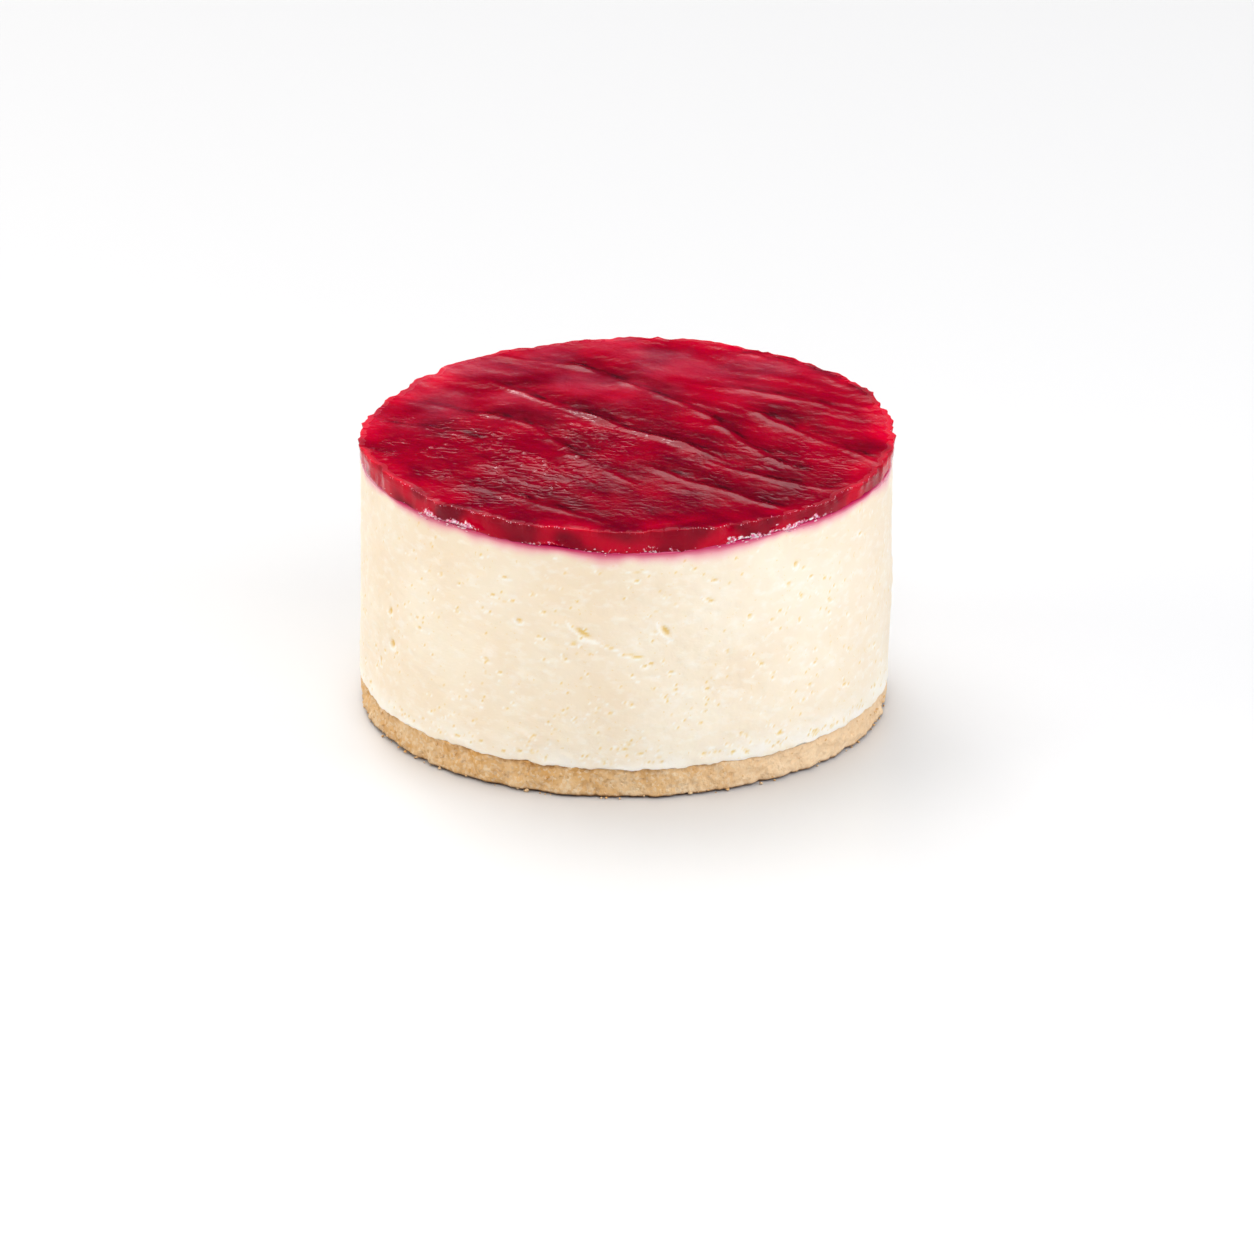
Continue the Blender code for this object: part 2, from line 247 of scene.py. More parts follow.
@dataclass(frozen=True)
class Side:
    """The profile of a round layer's side, from its top's rim down to its foot."""

    radius: float
    top: float
    foot: float
    top_round: float
    foot_round: float
    rows: int
    arc_steps: int = 5
    undercut: float = 0.0

    def rings(self) -> list[tuple[float, float]]:
        """The side's rings.

        Returns:
            Pairs of radius and height, the rim first.
        """
        found = []
        for step in range(self.arc_steps + 1):
            turn = 0.5 * math.pi * step / self.arc_steps
            inset = self.top_round * (1.0 - math.sin(turn))
            found.append((self.radius - inset, self.top - self.top_round * (1.0 - math.cos(turn))))
        straight_top = self.top - self.top_round
        straight_foot = self.foot + self.foot_round
        for step in range(1, self.rows + 1):
            height = straight_top + (straight_foot - straight_top) * step / self.rows
            found.append((self.radius, height))
        for step in range(1, self.arc_steps + 1):
            turn = 0.5 * math.pi * step / self.arc_steps
            inset = (self.foot_round + self.undercut) * (1.0 - math.cos(turn))
            height = self.foot + self.foot_round * (1.0 - math.sin(turn))
            found.append((self.radius - inset, height))
        return found

    def grow(self, disc: bmesh.types.BMesh) -> bmesh.types.BMesh:
        """Grows a unit disc into the closed, even layer.

        Args:
            disc: the open disc that becomes the layer's top.

        Returns:
            The same shape, closed, with its faces outward.
        """
        rings = self.rings()
        rim, top = rings[0]
        for vertex in disc.verts:
            vertex.co = (rim * vertex.co.x, rim * vertex.co.y, top)
        edges = [edge for edge in disc.edges if edge.is_boundary]
        for radius, height in rings[1:]:
            edges, points = grow_ring(disc, edges)
            for vertex in points:
                scale = radius / math.hypot(vertex.co.x, vertex.co.y)
                vertex.co = (scale * vertex.co.x, scale * vertex.co.y, height)
        bmesh.ops.edgeloop_fill(disc, edges=edges)
        bmesh.ops.recalc_face_normals(disc, faces=disc.faces)
        return disc


def mesh_points(mesh: bpy.types.Mesh) -> np.ndarray:
    """The mesh's points, one to a row."""
    points = np.empty(3 * len(mesh.vertices), np.float32)
    mesh.vertices.foreach_get("co", points)
    return points.reshape(-1, 3).astype(np.float64)


def set_points(mesh: bpy.types.Mesh, points: np.ndarray) -> None:
    """Moves the mesh's points to these places, one to a row."""
    mesh.vertices.foreach_set("co", points.astype(np.float32).ravel())


def mesh_of(name: str, shape: bmesh.types.BMesh) -> bpy.types.Mesh:
    """Turns a finished shape into a mesh with this name."""
    mesh = bpy.data.meshes.new(name)
    shape.to_mesh(mesh)
    shape.free()
    return mesh


def round_places(points: np.ndarray) -> tuple[np.ndarray, np.ndarray]:
    """Each point's distance from the middle, and its level way outward from there."""
    reach = np.hypot(points[:, 0], points[:, 1])
    return reach, points[:, :2] / np.maximum(reach, 1e-9)[:, None]


def add_share(mesh: bpy.types.Mesh, name: str, values: np.ndarray) -> None:
    """Stores one number for each point, which a finish reads by name."""
    attribute = mesh.attributes.new(name, "FLOAT", "POINT")
    attribute.data.foreach_set("value", values.astype(np.float32))


def settled(points: np.ndarray) -> np.ndarray:
    """Leans the cake a little, tilts the seam over the base, and lets the upper seam dip in front.

    Args:
        points: places on the cake, one to a row.

    Returns:
        The places, moved together, so that the layers still meet.
    """
    moved = points.copy()
    below = points[:, 2] / BASE_SEAM
    above = (CAKE_HEIGHT - points[:, 2]) / (CAKE_HEIGHT - BASE_SEAM)
    moved[:, 2] -= SEAM_TILT * points[:, 0] / CAKE_RADIUS * np.clip(np.minimum(below, above), 0.0, None)
    turns = np.arctan2(points[:, 0], -points[:, 1])
    near_seam = smooth_step(points[:, 2], JELLY_SEAM - 5.0 * MM, JELLY_SEAM - 0.4 * MM)
    near_seam *= smooth_step(points[:, 2], JELLY_SEAM + 2.9 * MM, JELLY_SEAM)
    in_front = np.exp(-((turns / SEAM_DIP_WIDTH) ** 2))
    moved[:, 2] += near_seam * (SEAM_LIFT - (SEAM_LIFT + SEAM_DIP) * in_front)
    moved[:, 0] += LEAN * (moved[:, 2] / CAKE_HEIGHT - 0.5)
    return moved


def place_piece(name: str, mesh: bpy.types.Mesh, finish: bpy.types.Material) -> bpy.types.Object:
    """Links a mesh as a piece of the cake that rides on its one body.

    Args:
        name: the piece's name.
        mesh: its mesh, in place.
        finish: its material.

    Returns:
        The new object.
    """
    mesh.materials.append(finish)
    mesh.shade_smooth()
    piece = bpy.data.objects.new(name, mesh)
    bpy.context.scene.collection.objects.link(piece)
    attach(piece, BODY)
    LOG.info("%s: %d faces", name, len(mesh.polygons))
    return piece


def add_node(tree: bpy.types.NodeTree, kind: str, settings: dict | None = None,
             links: dict | None = None) -> bpy.types.Node:
    """Adds a shader node.

    Args:
        tree: the material's node tree.
        kind: the node's type, without "ShaderNode".
        settings: properties, or input values where no property has that name.
        links: what feeds each input, by the input's name or number.

    Returns:
        The new node.
    """
    node = tree.nodes.new("ShaderNode" + kind)
    for name, value in (settings or {}).items():
        if isinstance(name, str) and hasattr(node, name):
            setattr(node, name, value)
        else:
            node.inputs[name].default_value = value
    for name, source in (links or {}).items():
        tree.links.new(source, node.inputs[name])
    return node


@dataclass(frozen=True)
class Mottle:
    """Soft noise from 0 to 1: its patches' length in mm, octaves, and the noise that gives 0 and 1."""

    length: float
    detail: float
    low: float
    high: float
    stretch: tuple[float, float, float] = (1.0, 1.0, 1.0)
    heading: float = 0.0


@dataclass(frozen=True)
class Creases:
    """Long thin creases with sharp crests: length and spacing in mm, heading in degrees, and octaves."""

    along: float
    across: float
    heading: float
    detail: float


class Pattern:
    """A material's node tree while it is put together, with the cake's own coordinates."""

    def __init__(self, name: str) -> None:
        """Starts a material with only a Principled shader and its output."""
        self.material = bpy.data.materials.new(name)
        self.material.use_nodes = True
        self.tree = self.material.node_tree
        self.shader = self.tree.nodes["Principled BSDF"]
        self.place = self.add("TexCoord").outputs["Object"]

    def add(self, kind: str, settings: dict | None = None, links: dict | None = None) -> bpy.types.Node:
        """Adds a node to this material."""
        return add_node(self.tree, kind, settings, links)

    def share(self, name: str) -> Socket:
        """The number that the mesh stores at each point under this name."""
        return self.add("Attribute", {"attribute_name": name}).outputs["Fac"]

    def mapped(self, heading: float, sizes: list[float]) -> Socket:
        """The cake's coordinates, turned by degrees about Z and divided by these sizes in mm."""
        settings = {"vector_type": "TEXTURE", "Rotation": (0.0, 0.0, math.radians(heading)),
                    "Scale": [size * MM for size in sizes]}
        return self.add("Mapping", settings, {"Vector": self.place}).outputs["Vector"]

    def mottle(self, kind: Mottle) -> Socket:
        """Adds soft patches.

        Args:
            kind: their size, octaves, contrast and stretch.

        Returns:
            A value from 0 to 1.
        """
        place = self.mapped(kind.heading, [kind.length * way for way in kind.stretch])
        patches = self.add("TexNoise", {"Scale": 1.0, "Detail": kind.detail, "Roughness": 0.55},
                           {"Vector": place})
        return self.ramp(patches.outputs["Fac"], start=kind.low, end=kind.high)

    def wrinkles(self, kind: Creases) -> Socket:
        """Adds long thin creases.

        Args:
            kind: their length, spacing, heading and octaves.

        Returns:
            Their height, from 0 to 1.
        """
        place = self.mapped(kind.heading, [kind.along, kind.across, kind.across])
        crease = self.add("TexNoise", {"noise_type": "RIDGED_MULTIFRACTAL", "normalize": True, "Scale": 1.0,
                                       "Detail": kind.detail, "Roughness": 0.5, "Offset": 0.8, "Gain": 1.2,
                                       "Distortion": 0.35}, {"Vector": place})
        return crease.outputs["Fac"]

    def ramp(self, value: Socket, first: float = 0.0, last: float = 1.0, start: float = 0.0,
             end: float = 1.0) -> Socket:
        """Runs from first to last while the value runs from start to end."""
        settings = {"From Min": start, "From Max": end, "To Min": first, "To Max": last}
        return self.add("MapRange", settings, {"Value": value}).outputs["Result"]

    def mix(self, share: Socket, first: object, second: object, strength: float = 1.0) -> Socket:
        """Mixes two colours.

        Args:
            share: how much of the second there is, from 0 to 1.
            first: a hex string or a socket.
            second: a hex string or a socket.
            strength: multiplies the share.

        Returns:
            The mixed colour.
        """
        if strength != 1.0:
            share = self.math("MULTIPLY", share, strength)
        node = self.add("Mix", {"data_type": "RGBA"}, {0: share})
        for number, colour in ((6, first), (7, second)):
            if isinstance(colour, str):
                node.inputs[number].default_value = linear(colour)
            else:
                self.tree.links.new(colour, node.inputs[number])
        return node.outputs[2]

    def math(self, operation: str, first: object, second: object = 0.0) -> Socket:
        """Adds one sum.

        Args:
            operation: the Math node's name for it.
            first: a socket or a number.
            second: a socket or a number.

        Returns:
            The result, kept from 0 to 1.
        """
        node = self.add("Math", {"operation": operation, "use_clamp": True})
        for number, value in enumerate((first, second)):
            if isinstance(value, (int, float)):
                node.inputs[number].default_value = value
            else:
                self.tree.links.new(value, node.inputs[number])
        return node.outputs["Value"]

    def dent(self, height: Socket, depth: float, under: Socket | None = None) -> Socket:
        """Bumps the surface.

        Args:
            height: the bumps' height, from 0 to 1.
            depth: what a height of 1 stands for, in metres.
            under: the normal of the bumps below these.

        Returns:
            The normal.
        """
        links = {"Height": height}
        if under is not None:
            links["Normal"] = under
        return self.add("Bump", {"Strength": 1.0, "Distance": depth}, links).outputs["Normal"]

    def finish(self, colour: Socket, roughness: Socket, normal: Socket,
               settings: dict) -> bpy.types.Material:
        """Joins what the pattern made to the shader.

        Args:
            colour: the base colour.
            roughness: the roughness.
            normal: the bumped normal.
            settings: the shader's constant inputs, by their names.

        Returns:
            The finished material.
        """
        for name, value in settings.items():
            self.shader.inputs[name].default_value = value
        self.tree.links.new(colour, self.shader.inputs["Base Color"])
        self.tree.links.new(roughness, self.shader.inputs["Roughness"])
        self.tree.links.new(normal, self.shader.inputs["Normal"])
        return self.material


@dataclass(frozen=True)
class SetBerryJelly:
    """Berry puree set with pectin: translucent deep red, wet and glossy, darker where it is thick, with a
    painted glow at its rim, side and rear.
    """

    deep: str = "680019"
    bright: str = "8e001d"
    # Painted light: the glow of light through the rim and side, and the brighter rear
    glow: str = "c40028"
    # Painted shade colour, laid along the far side of each ridge
    dark: str = "3c0611"
    # Painted sheen colour
    haze_and_painted_sheen: str = "c8587a"
    # Painted glints: the pale and pink colours of the froth at the lower edge
    froth_and_painted_glints: str = "fdeaf1"
    juice: str = "e8709a"
    patches: Mottle = Mottle(5.0, 2.0, 0.34, 0.66, (1.4, 1.0, 1.0), KNIFE_WAY)
    broken: Mottle = Mottle(1.5, 4.0, 0.42, 0.58, (2.4, 1.0, 1.0), KNIFE_WAY)
    glint_gaps: Mottle = Mottle(0.50, 3.0, 0.28, 0.70)
    glint_tint: Mottle = Mottle(0.42, 2.0, 0.42, 0.60)
    gloss: Mottle = Mottle(4.0, 3.0, 0.3, 0.7)
    lumps: Mottle = Mottle(1.5, 3.0, 0.25, 0.75)
    brushed: Creases = Creases(4.5, 0.9, KNIFE_WAY, 3.0)
    creased: Creases = Creases(1.8, 1.2, -14.0, 4.0)
    smoothest: float = 0.06
    roughest: float = 0.16
    rim_dullness: float = 0.42
    haze_dullness: float = 0.18
    brush_depth: float = 0.007 * MM
    lump_depth: float = 0.045 * MM
    crease_depth: float = 0.085 * MM

    def build(self) -> bpy.types.Material:
        """Makes the material; scattering gives the lit rim, and a wet surface the sheen on each ridge."""
        pattern = Pattern("set_berry_jelly")
        colour = pattern.mix(pattern.mottle(self.patches), self.deep, self.bright)
        # Painted glow where light passes through the rim and side, and towards the rear
        colour = pattern.mix(pattern.share("glow"), colour, self.glow)
        # Painted shade: dark colour on the far side of each ridge, in a soft band and a broken streak
        colour = pattern.mix(pattern.share("shade"), colour, self.dark, 0.50)
        painted_shade_streak = pattern.math("MULTIPLY", pattern.share("painted_shade_streak"), pattern.mottle(self.broken))
        colour = pattern.mix(painted_shade_streak, colour, self.dark, 0.85)
        # Painted sheen: a pinkish tint on the rear patches, which are also rougher
        haze_and_painted_sheen = pattern.share("haze_and_painted_sheen")
        colour = pattern.mix(haze_and_painted_sheen, colour, self.haze_and_painted_sheen, 0.20)
        # Froth and painted glints: a pale pink film broken into blobs at the lower edge
        froth_and_painted_glints = pattern.math("MULTIPLY", pattern.share("froth_and_painted_glints"), 0.80)
        film = pattern.math("SUBTRACT", froth_and_painted_glints, pattern.mottle(self.glint_gaps))
        tint = pattern.mix(pattern.mottle(self.glint_tint), self.juice, self.froth_and_painted_glints)
        colour = pattern.mix(film, colour, tint, 3.2)
        roughness = pattern.ramp(pattern.mottle(self.gloss), self.smoothest, self.roughest)
        for share, dullness in ((pattern.share("dull"), self.rim_dullness), (haze_and_painted_sheen, self.haze_dullness)):
            roughness = pattern.math("ADD", roughness, pattern.math("MULTIPLY", share, dullness))
        normal = pattern.dent(pattern.wrinkles(self.brushed), self.brush_depth)
        normal = pattern.dent(pattern.mottle(self.lumps), self.lump_depth, normal)
        creased = pattern.math("MULTIPLY", pattern.wrinkles(self.creased), pattern.share("wrinkle"))
        normal = pattern.dent(creased, self.crease_depth, normal)
        return pattern.finish(colour, roughness, normal, {
            "IOR": 1.38, "Specular IOR Level": 0.17, "Subsurface Weight": 0.55,
            "Subsurface Radius": (1.0, 0.08, 0.14), "Subsurface Scale": 1.6 * MM})


@dataclass(frozen=True)
class FrothWithPaintedGlints:
    """Tiny air bubbles in juice, held at the jelly's edges: wet, painted pale pink as glints, with a glint
    on each.
    """

    # Painted glint colours
    pale: str = "f8d5df"
    juice: str = "dc6a8c"
    tint: Mottle = Mottle(1.2, 2.0, 0.40, 0.60)
    gloss: Mottle = Mottle(0.8, 1.0, 0.3, 0.7)
    lumps: Mottle = Mottle(0.3, 2.0, 0.3, 0.7)

    def build(self) -> bpy.types.Material:
        """Makes the material; its pale pink is a painted glint, paler than the jelly."""
        pattern = Pattern("froth_with_painted_glints")
        colour = pattern.mix(pattern.mottle(self.tint), self.pale, self.juice)
        roughness = pattern.ramp(pattern.mottle(self.gloss), 0.08, 0.20)
        normal = pattern.dent(pattern.mottle(self.lumps), 0.02 * MM)
        return pattern.finish(colour, roughness, normal, {
            "IOR": 1.34, "Subsurface Weight": 0.4, "Subsurface Radius": (1.0, 0.5, 0.6),
            "Subsurface Scale": 0.4 * MM})


@dataclass(frozen=True)
class BakedCream:
    """Baked cream cheese: ivory, fine and satin, with ochre in its air holes and juice at its top."""

    ivory: str = "f5e3c9"
    pale: str = "f9ecd7"
    white: str = "fef9f0"
    ochre: str = "efcc66"
    core: str = "dfa93c"
    pink: str = "f08ba6"
    juice: str = "c4145a"
    cloud: Mottle = Mottle(14.0, 2.0, 0.36, 0.64)
    curds: Mottle = Mottle(1.1, 3.0, 0.50, 0.72, (1.8, 1.8, 1.0))
    fleck: Mottle = Mottle(0.55, 1.0, 0.69, 0.78)
    grain: Mottle = Mottle(0.35, 3.0, 0.2, 0.8, (1.5, 1.5, 1.0))
    grain_depth: float = 0.035 * MM
    dry: float = 0.50
    wet: float = 0.20
    pink_rise: float = 1.25
    juice_rise: float = 4.5

    def build(self) -> bpy.types.Material:
        """Makes the material; the slow mottle gives the creamy unevenness seen on the side."""
        pattern = Pattern("baked_cream_cheese")
        colour = pattern.mix(pattern.mottle(self.cloud), self.ivory, self.pale)
        colour = pattern.mix(pattern.mottle(self.curds), colour, self.white, 0.45)
        # Whiter low down, partly cream smears and partly painted light, and a painted highlight on the lip
        # below each pit
        colour = pattern.mix(pattern.share("smear_and_painted_light"), colour, self.white)
        colour = pattern.mix(pattern.mottle(self.fleck), colour, self.ochre, 0.40)
        colour = pattern.mix(pattern.share("pit"), colour, self.ochre)
        colour = pattern.mix(pattern.share("core"), colour, self.core)
        stain = pattern.share("stain")
        colour = pattern.mix(pattern.math("POWER", stain, self.pink_rise), colour, self.pink)
        colour = pattern.mix(pattern.math("POWER", stain, self.juice_rise), colour, self.juice)
        normal = pattern.dent(pattern.mottle(self.grain), self.grain_depth)
        return pattern.finish(colour, pattern.ramp(stain, self.dry, self.wet), normal, {
            "IOR": 1.43, "Subsurface Weight": 0.20, "Subsurface Radius": (1.0, 0.72, 0.42),
            "Subsurface Scale": 0.8 * MM})


@dataclass(frozen=True)
class PressedCrumb:
    """Ground biscuit pressed with butter: pale golden, matt and coarse, with darker baked grains."""

    pale: str = "eecda0"
    golden: str = "dda965"
    baked: str = "b07a40"
    # Painted shade colour for the dark line at the foot
    under: str = "8a5a2c"
    flour: str = "f3e3c8"
    painted_light_peach: str = "f9dab4"
    cloud: Mottle = Mottle(6.0, 4.0, 0.36, 0.62)
    toast_and_painted_seam_shade: Mottle = Mottle(0.9, 3.0, 0.40, 0.62)
    gloss: Mottle = Mottle(1.5, 2.0, 0.3, 0.7)
    rough: Mottle = Mottle(0.4, 4.0, 0.2, 0.8)
    grain: float = 0.42 * MM
    grain_gap: float = 0.07 * MM
    rough_depth: float = 0.10 * MM
    light_grains: float = 0.5
    dark_grains: float = 0.86

    def build(self) -> bpy.types.Material:
        """Makes the material; its grains are a little under half a millimetre wide."""
        pattern = Pattern("pressed_biscuit_crumb")
        colour = pattern.mix(pattern.mottle(self.cloud), self.pale, self.golden)
        grains = pattern.add("TexVoronoi", {"Scale": 1.0 / self.grain}, {"Vector": pattern.place}).outputs
        tint = pattern.add("SeparateColor", {}, {"Color": grains["Color"]}).outputs
        light = pattern.ramp(tint["Red"], start=self.light_grains, end=0.95)
        colour = pattern.mix(light, colour, self.flour, 0.45)
        dark = pattern.ramp(tint["Green"], start=self.dark_grains)
        colour = pattern.mix(dark, colour, self.baked, 0.40)
        # Toasted crumbs and painted shade in the seam under the filling, darker near the base's top edge
        toast_and_painted_seam_shade = pattern.math("MULTIPLY", pattern.share("toast_and_painted_seam_shade"), pattern.mottle(self.toast_and_painted_seam_shade))
        colour = pattern.mix(toast_and_painted_seam_shade, colour, self.baked)
        # Painted light: a lighter peach on the +X side, where more light falls
        colour = pattern.mix(pattern.share("pale"), colour, self.painted_light_peach)
        # Painted shade: darker at the foot, where the base meets the floor
        colour = pattern.mix(pattern.share("under"), colour, self.under)
        normal = pattern.dent(pattern.ramp(grains["Distance"], end=0.5), -self.grain_gap)
        normal = pattern.dent(pattern.mottle(self.rough), self.rough_depth, normal)
        roughness = pattern.ramp(pattern.mottle(self.gloss), 0.60, 0.88)
        return pattern.finish(colour, roughness, normal, {"IOR": 1.45, "Specular IOR Level": 0.4})


@dataclass(frozen=True)
class Furrow:
    """One ridge left by the spreading knife, with painted shade for the valley on its far side.

    Its start, end and bow are in cake radii, seen from above with +X right and +Y up. The ridge's
    height is in millimetres, and so is the valley's depth, which here only sets how dark the painted shade
    is.
    """

    start: tuple[float, float]
    end: tuple[float, float]
    bow: float
    ridge: float
    valley_shade: float


@dataclass
class BerryJelly:
    """The set jelly: furrowed by the knife that spread it, wrinkled, scalloped round its rim."""

    cells: int = 180
    rings: int = 44
    crest_width: float = 0.55 * MM
    crest_share: float = 0.46
    near_reach: float = 2.3 * MM
    far_reach: float = 2.8 * MM
    flank_share: float = 0.46
    flank_round: float = 0.35 * MM
    shade_offset: float = 2.4 * MM
    shade_width: float = 2.6 * MM
    streak_offset: float = 1.2 * MM
    streak_width: float = 0.62 * MM
    haziest: float = 0.62
    lip: float = 0.22 * MM
    tooth: float = 0.27 * MM
    pimple: float = 0.24 * MM
    wander: tuple[Relief, ...] = (Relief(0.40, 15.0, 3.0), Relief(0.18, 3.6, 5.0))
    swell: tuple[Relief, ...] = (Relief(0.12, 13.0, 7.0), Relief(0.05, 17.0, 9.0, 5.0, -48.0))
    rear_ripples: Relief = Relief(0.05, 6.0, 21.0, 2.5, -32.0)
    wrinkles: Relief = Relief(0.030, 2.2, 41.0, 1.2, -16.0)
    folds: Relief = Relief(0.050, 4.0, 43.0, 2.4, -30.0)
    ripples: Relief = Relief(0.045, 6.0, 45.0, 1.9, -24.0)
    scallops: tuple[Relief, ...] = (Relief(0.36, 4.6, 17.0), Relief(0.15, 13.0, 19.0))
    beading: tuple[Relief, ...] = (Relief(0.06, 0.95, 123.0), Relief(0.06, 2.3, 127.0))
    ragged_foot: tuple[Relief, ...] = (Relief(0.20, 1.5, 61.0), Relief(0.18, 5.0, 67.0))
    flutes: Relief = Relief(0.05, 1.6, 59.0)
    side_swell: Relief = Relief(0.06, 4.0, 63.0)
    wrinkled_zones: tuple[Zone, ...] = (
        Zone(-0.38, -0.36, 0.80, 0.25), Zone(0.62, -0.42, 0.50, 0.15, 0.6),
        Zone(-0.86, -0.02, 0.40, 0.15, 0.8),
    )
    rippled_zone: Zone = Zone(0.62, 0.32, 0.55, 0.20)
    furrows: tuple[Furrow, ...] = (
        Furrow((-0.52, 0.55), (0.36, -0.30), -0.04, 0.46, 0.36),
        Furrow((0.26, -0.25), (0.82, -0.58), -0.06, 0.28, 0.26),
        Furrow((-0.27, 0.78), (0.36, 0.00), 0.03, 0.32, 0.30),
        Furrow((0.32, 0.04), (0.68, -0.44), -0.01, 0.24, 0.20),
        Furrow((0.42, 0.23), (0.93, -0.30), 0.01, 0.30, 0.28),
        Furrow((0.26, 0.48), (0.82, 0.20), 0.03, 0.16, 0.12),
        Furrow((-0.60, 0.24), (-0.20, -0.30), 0.07, 0.30, 0.30),
        Furrow((-0.24, -0.24), (0.04, -0.57), 0.00, 0.24, 0.18),
        Furrow((0.06, -0.36), (0.62, -0.79), -0.02, 0.24, 0.26),
        Furrow((-0.64, -0.54), (-0.06, -0.93), 0.02, 0.26, 0.24),
        Furrow((-0.98, 0.13), (-0.53, -0.13), 0.06, 0.16, 0.20),
        Furrow((-0.94, 0.42), (-0.58, 0.18), 0.05, 0.18, 0.14),
        Furrow((-0.52, 0.84), (-0.10, 0.61), 0.02, 0.18, 0.16),
        Furrow((0.38, 0.84), (0.90, 0.30), 0.08, 0.12, 0.30),
    )
    side: Side = field(default_factory=lambda: Side(
        radius=CAKE_RADIUS, top=CAKE_HEIGHT, foot=JELLY_SEAM - 0.12 * MM,
        top_round=0.15 * MM, foot_round=0.25 * MM, rows=13))
    froth_and_glint_stretches: tuple[tuple[float, float, float], ...] = (
        (-49.0, -34.0, 1.0), (-22.0, -14.0, 0.55), (2.0, 12.0, 0.55), (21.0, 46.0, 1.0),
    )
    rim_points: np.ndarray = field(default_factory=lambda: np.zeros((0, 3)))
    foot_points: np.ndarray = field(default_factory=lambda: np.zeros((0, 3)))

    def furrow_relief(self, flat: np.ndarray) -> tuple[np.ndarray, np.ndarray, np.ndarray]:
        """The knife's furrows.

        Args:
            flat: places on the top, with no height.

        Returns:
            How far the surface stands above its mean, and two shares from 0 to 1 of painted shade: the dark
            streak right behind each ridge, and the softer shade round it.
        """
        wander = standing(self.wander, flat)
        rough = 1.0 + 0.45 * bumps(turned(flat, math.radians(KNIFE_WAY), 4.0 * MM, 2.0 * MM), 1.0, 15.0)
        relief = standing(self.swell, flat)
        rear = smooth_step(flat[:, 1] / CAKE_RADIUS, 0.0, 0.6)
        relief += rear * self.rear_ripples.at(flat)
        painted_shade_streak = np.zeros(len(flat))
        shade = np.zeros(len(flat))
        for number, furrow in enumerate(self.furrows):
            start = CAKE_RADIUS * np.array(furrow.start)
            chord = CAKE_RADIUS * np.array(furrow.end) - start
            length = float(np.hypot(*chord))
            way = chord / length
            offset = flat[:, :2] - start
            along = offset @ way / length
            bend = 4.0 * furrow.bow * CAKE_RADIUS * along * (1.0 - along)
            across = offset @ np.array((-way[1], way[0])) - bend + wander
            fade = smooth_step(along, -0.10, 0.16) * smooth_step(along, 1.10, 0.84)
            track = np.column_stack((along * length, np.zeros(len(flat)), np.zeros(len(flat))))
            strength = fade * rough * (0.85 + 0.35 * bumps(track, 9.0 * MM, 11.0 + number))
            crest = np.exp(-((across / self.crest_width) ** 2))
            flank_reach = np.where(across < 0.0, self.near_reach, self.far_reach)
            flank = np.exp(-np.hypot(across, self.flank_round) / flank_reach)
            relief += strength * MM * furrow.ridge * (self.crest_share * crest + self.flank_share * flank)
            # Painted shade behind each ridge, as dark as the valley's depth says
            darkness = strength * min(furrow.valley_shade / 0.3, 1.0)
            painted_shade_streak += 1.5 * darkness * np.exp(-(((across - self.streak_offset) / self.streak_width) ** 2))
            shade += darkness * np.exp(-(((across - self.shade_offset) / self.shade_width) ** 2))
        return relief, np.clip(painted_shade_streak, 0.0, 1.0), np.clip(shade, 0.0, 1.0)

    def rim_relief(self, around: np.ndarray, reach: np.ndarray) -> np.ndarray:
        """The slope down to the rim, and the low lip where the jelly climbed its ring.

        Args:
            around: each point's place round the cake, at its full radius.
            reach: each point's distance from the middle.

        Returns:
            How far the surface stands above its mean.
        """
        degrees = np.degrees(np.arctan2(around[:, 0], -around[:, 1])) % 360.0
        rim = np.zeros(len(around))
        for (before, low), (after, high) in zip(RIM_HEIGHTS, RIM_HEIGHTS[1:]):
            within = (degrees >= before) & (degrees <= after)
            rim[within] = low + (high - low) * smooth_step(degrees[within], before, after)
        slope = near_rim(reach, 30.0, 2.6)
        front = smooth_step(np.cos(np.radians(degrees)), -0.5, 0.6)
        lip_start = CAKE_RADIUS - (3.2 + 3.6 * front) * MM
        lip = smooth_step((reach - lip_start) / (CAKE_RADIUS - 0.5 * MM - lip_start), 0.0, 1.0)
        lip_height = self.lip * (0.25 + 0.75 * front)
        swing = (0.05 + 0.07 * front) * MM * bumps(around, 7.0 * MM, 33.0)
        return slope * (rim * MM - lip_height) + lip * (lip_height + swing)

    def fine_relief(self, flat: np.ndarray) -> tuple[np.ndarray, np.ndarray]:
        """Wrinkles, mostly near the front left, and small pimples where fruit lies under the surface.

        Args:
            flat: places on the top, with no height.

        Returns:
            How far the surface stands above its mean, and how wrinkled it is from 0 to 1.
        """
        where = sum(zone.share(flat) for zone in self.wrinkled_zones)
        where *= 0.12 + 0.88 * smooth_step(bumps(flat, 5.0 * MM, 47.0), -0.25, 0.40)
        where = 0.10 + 0.90 * np.clip(where, 0.0, 1.0)
        pimples = np.clip(bumps(flat, 0.9 * MM, 53.0) - 0.7, 0.0, 1.0)
        relief = where * (self.wrinkles.at(flat) + self.pimple * pimples)
        relief += (0.2 + 0.8 * where) * self.folds.at(flat)
        relief += self.rippled_zone.share(flat) * self.ripples.at(flat)
        return relief, where

    def outline(self, around: np.ndarray, share: np.ndarray) -> np.ndarray:
        """How far the edge stands out.

        Args:
            around: each point's place round the cake, at its full radius.
            share: each point's height on the side, from 0 at the foot to 1 at the top.

        Returns:
            Scallops and small teeth at the rim, and almost nothing at the foot, in metres.
        """
        scallop = standing(self.scallops, around)
        teeth = self.tooth * (1.0 - 2.0 * np.abs(bumps(around, 2.6 * MM, 37.0)))
        return (0.25 + 0.75 * share) * scallop + share ** 3 * teeth

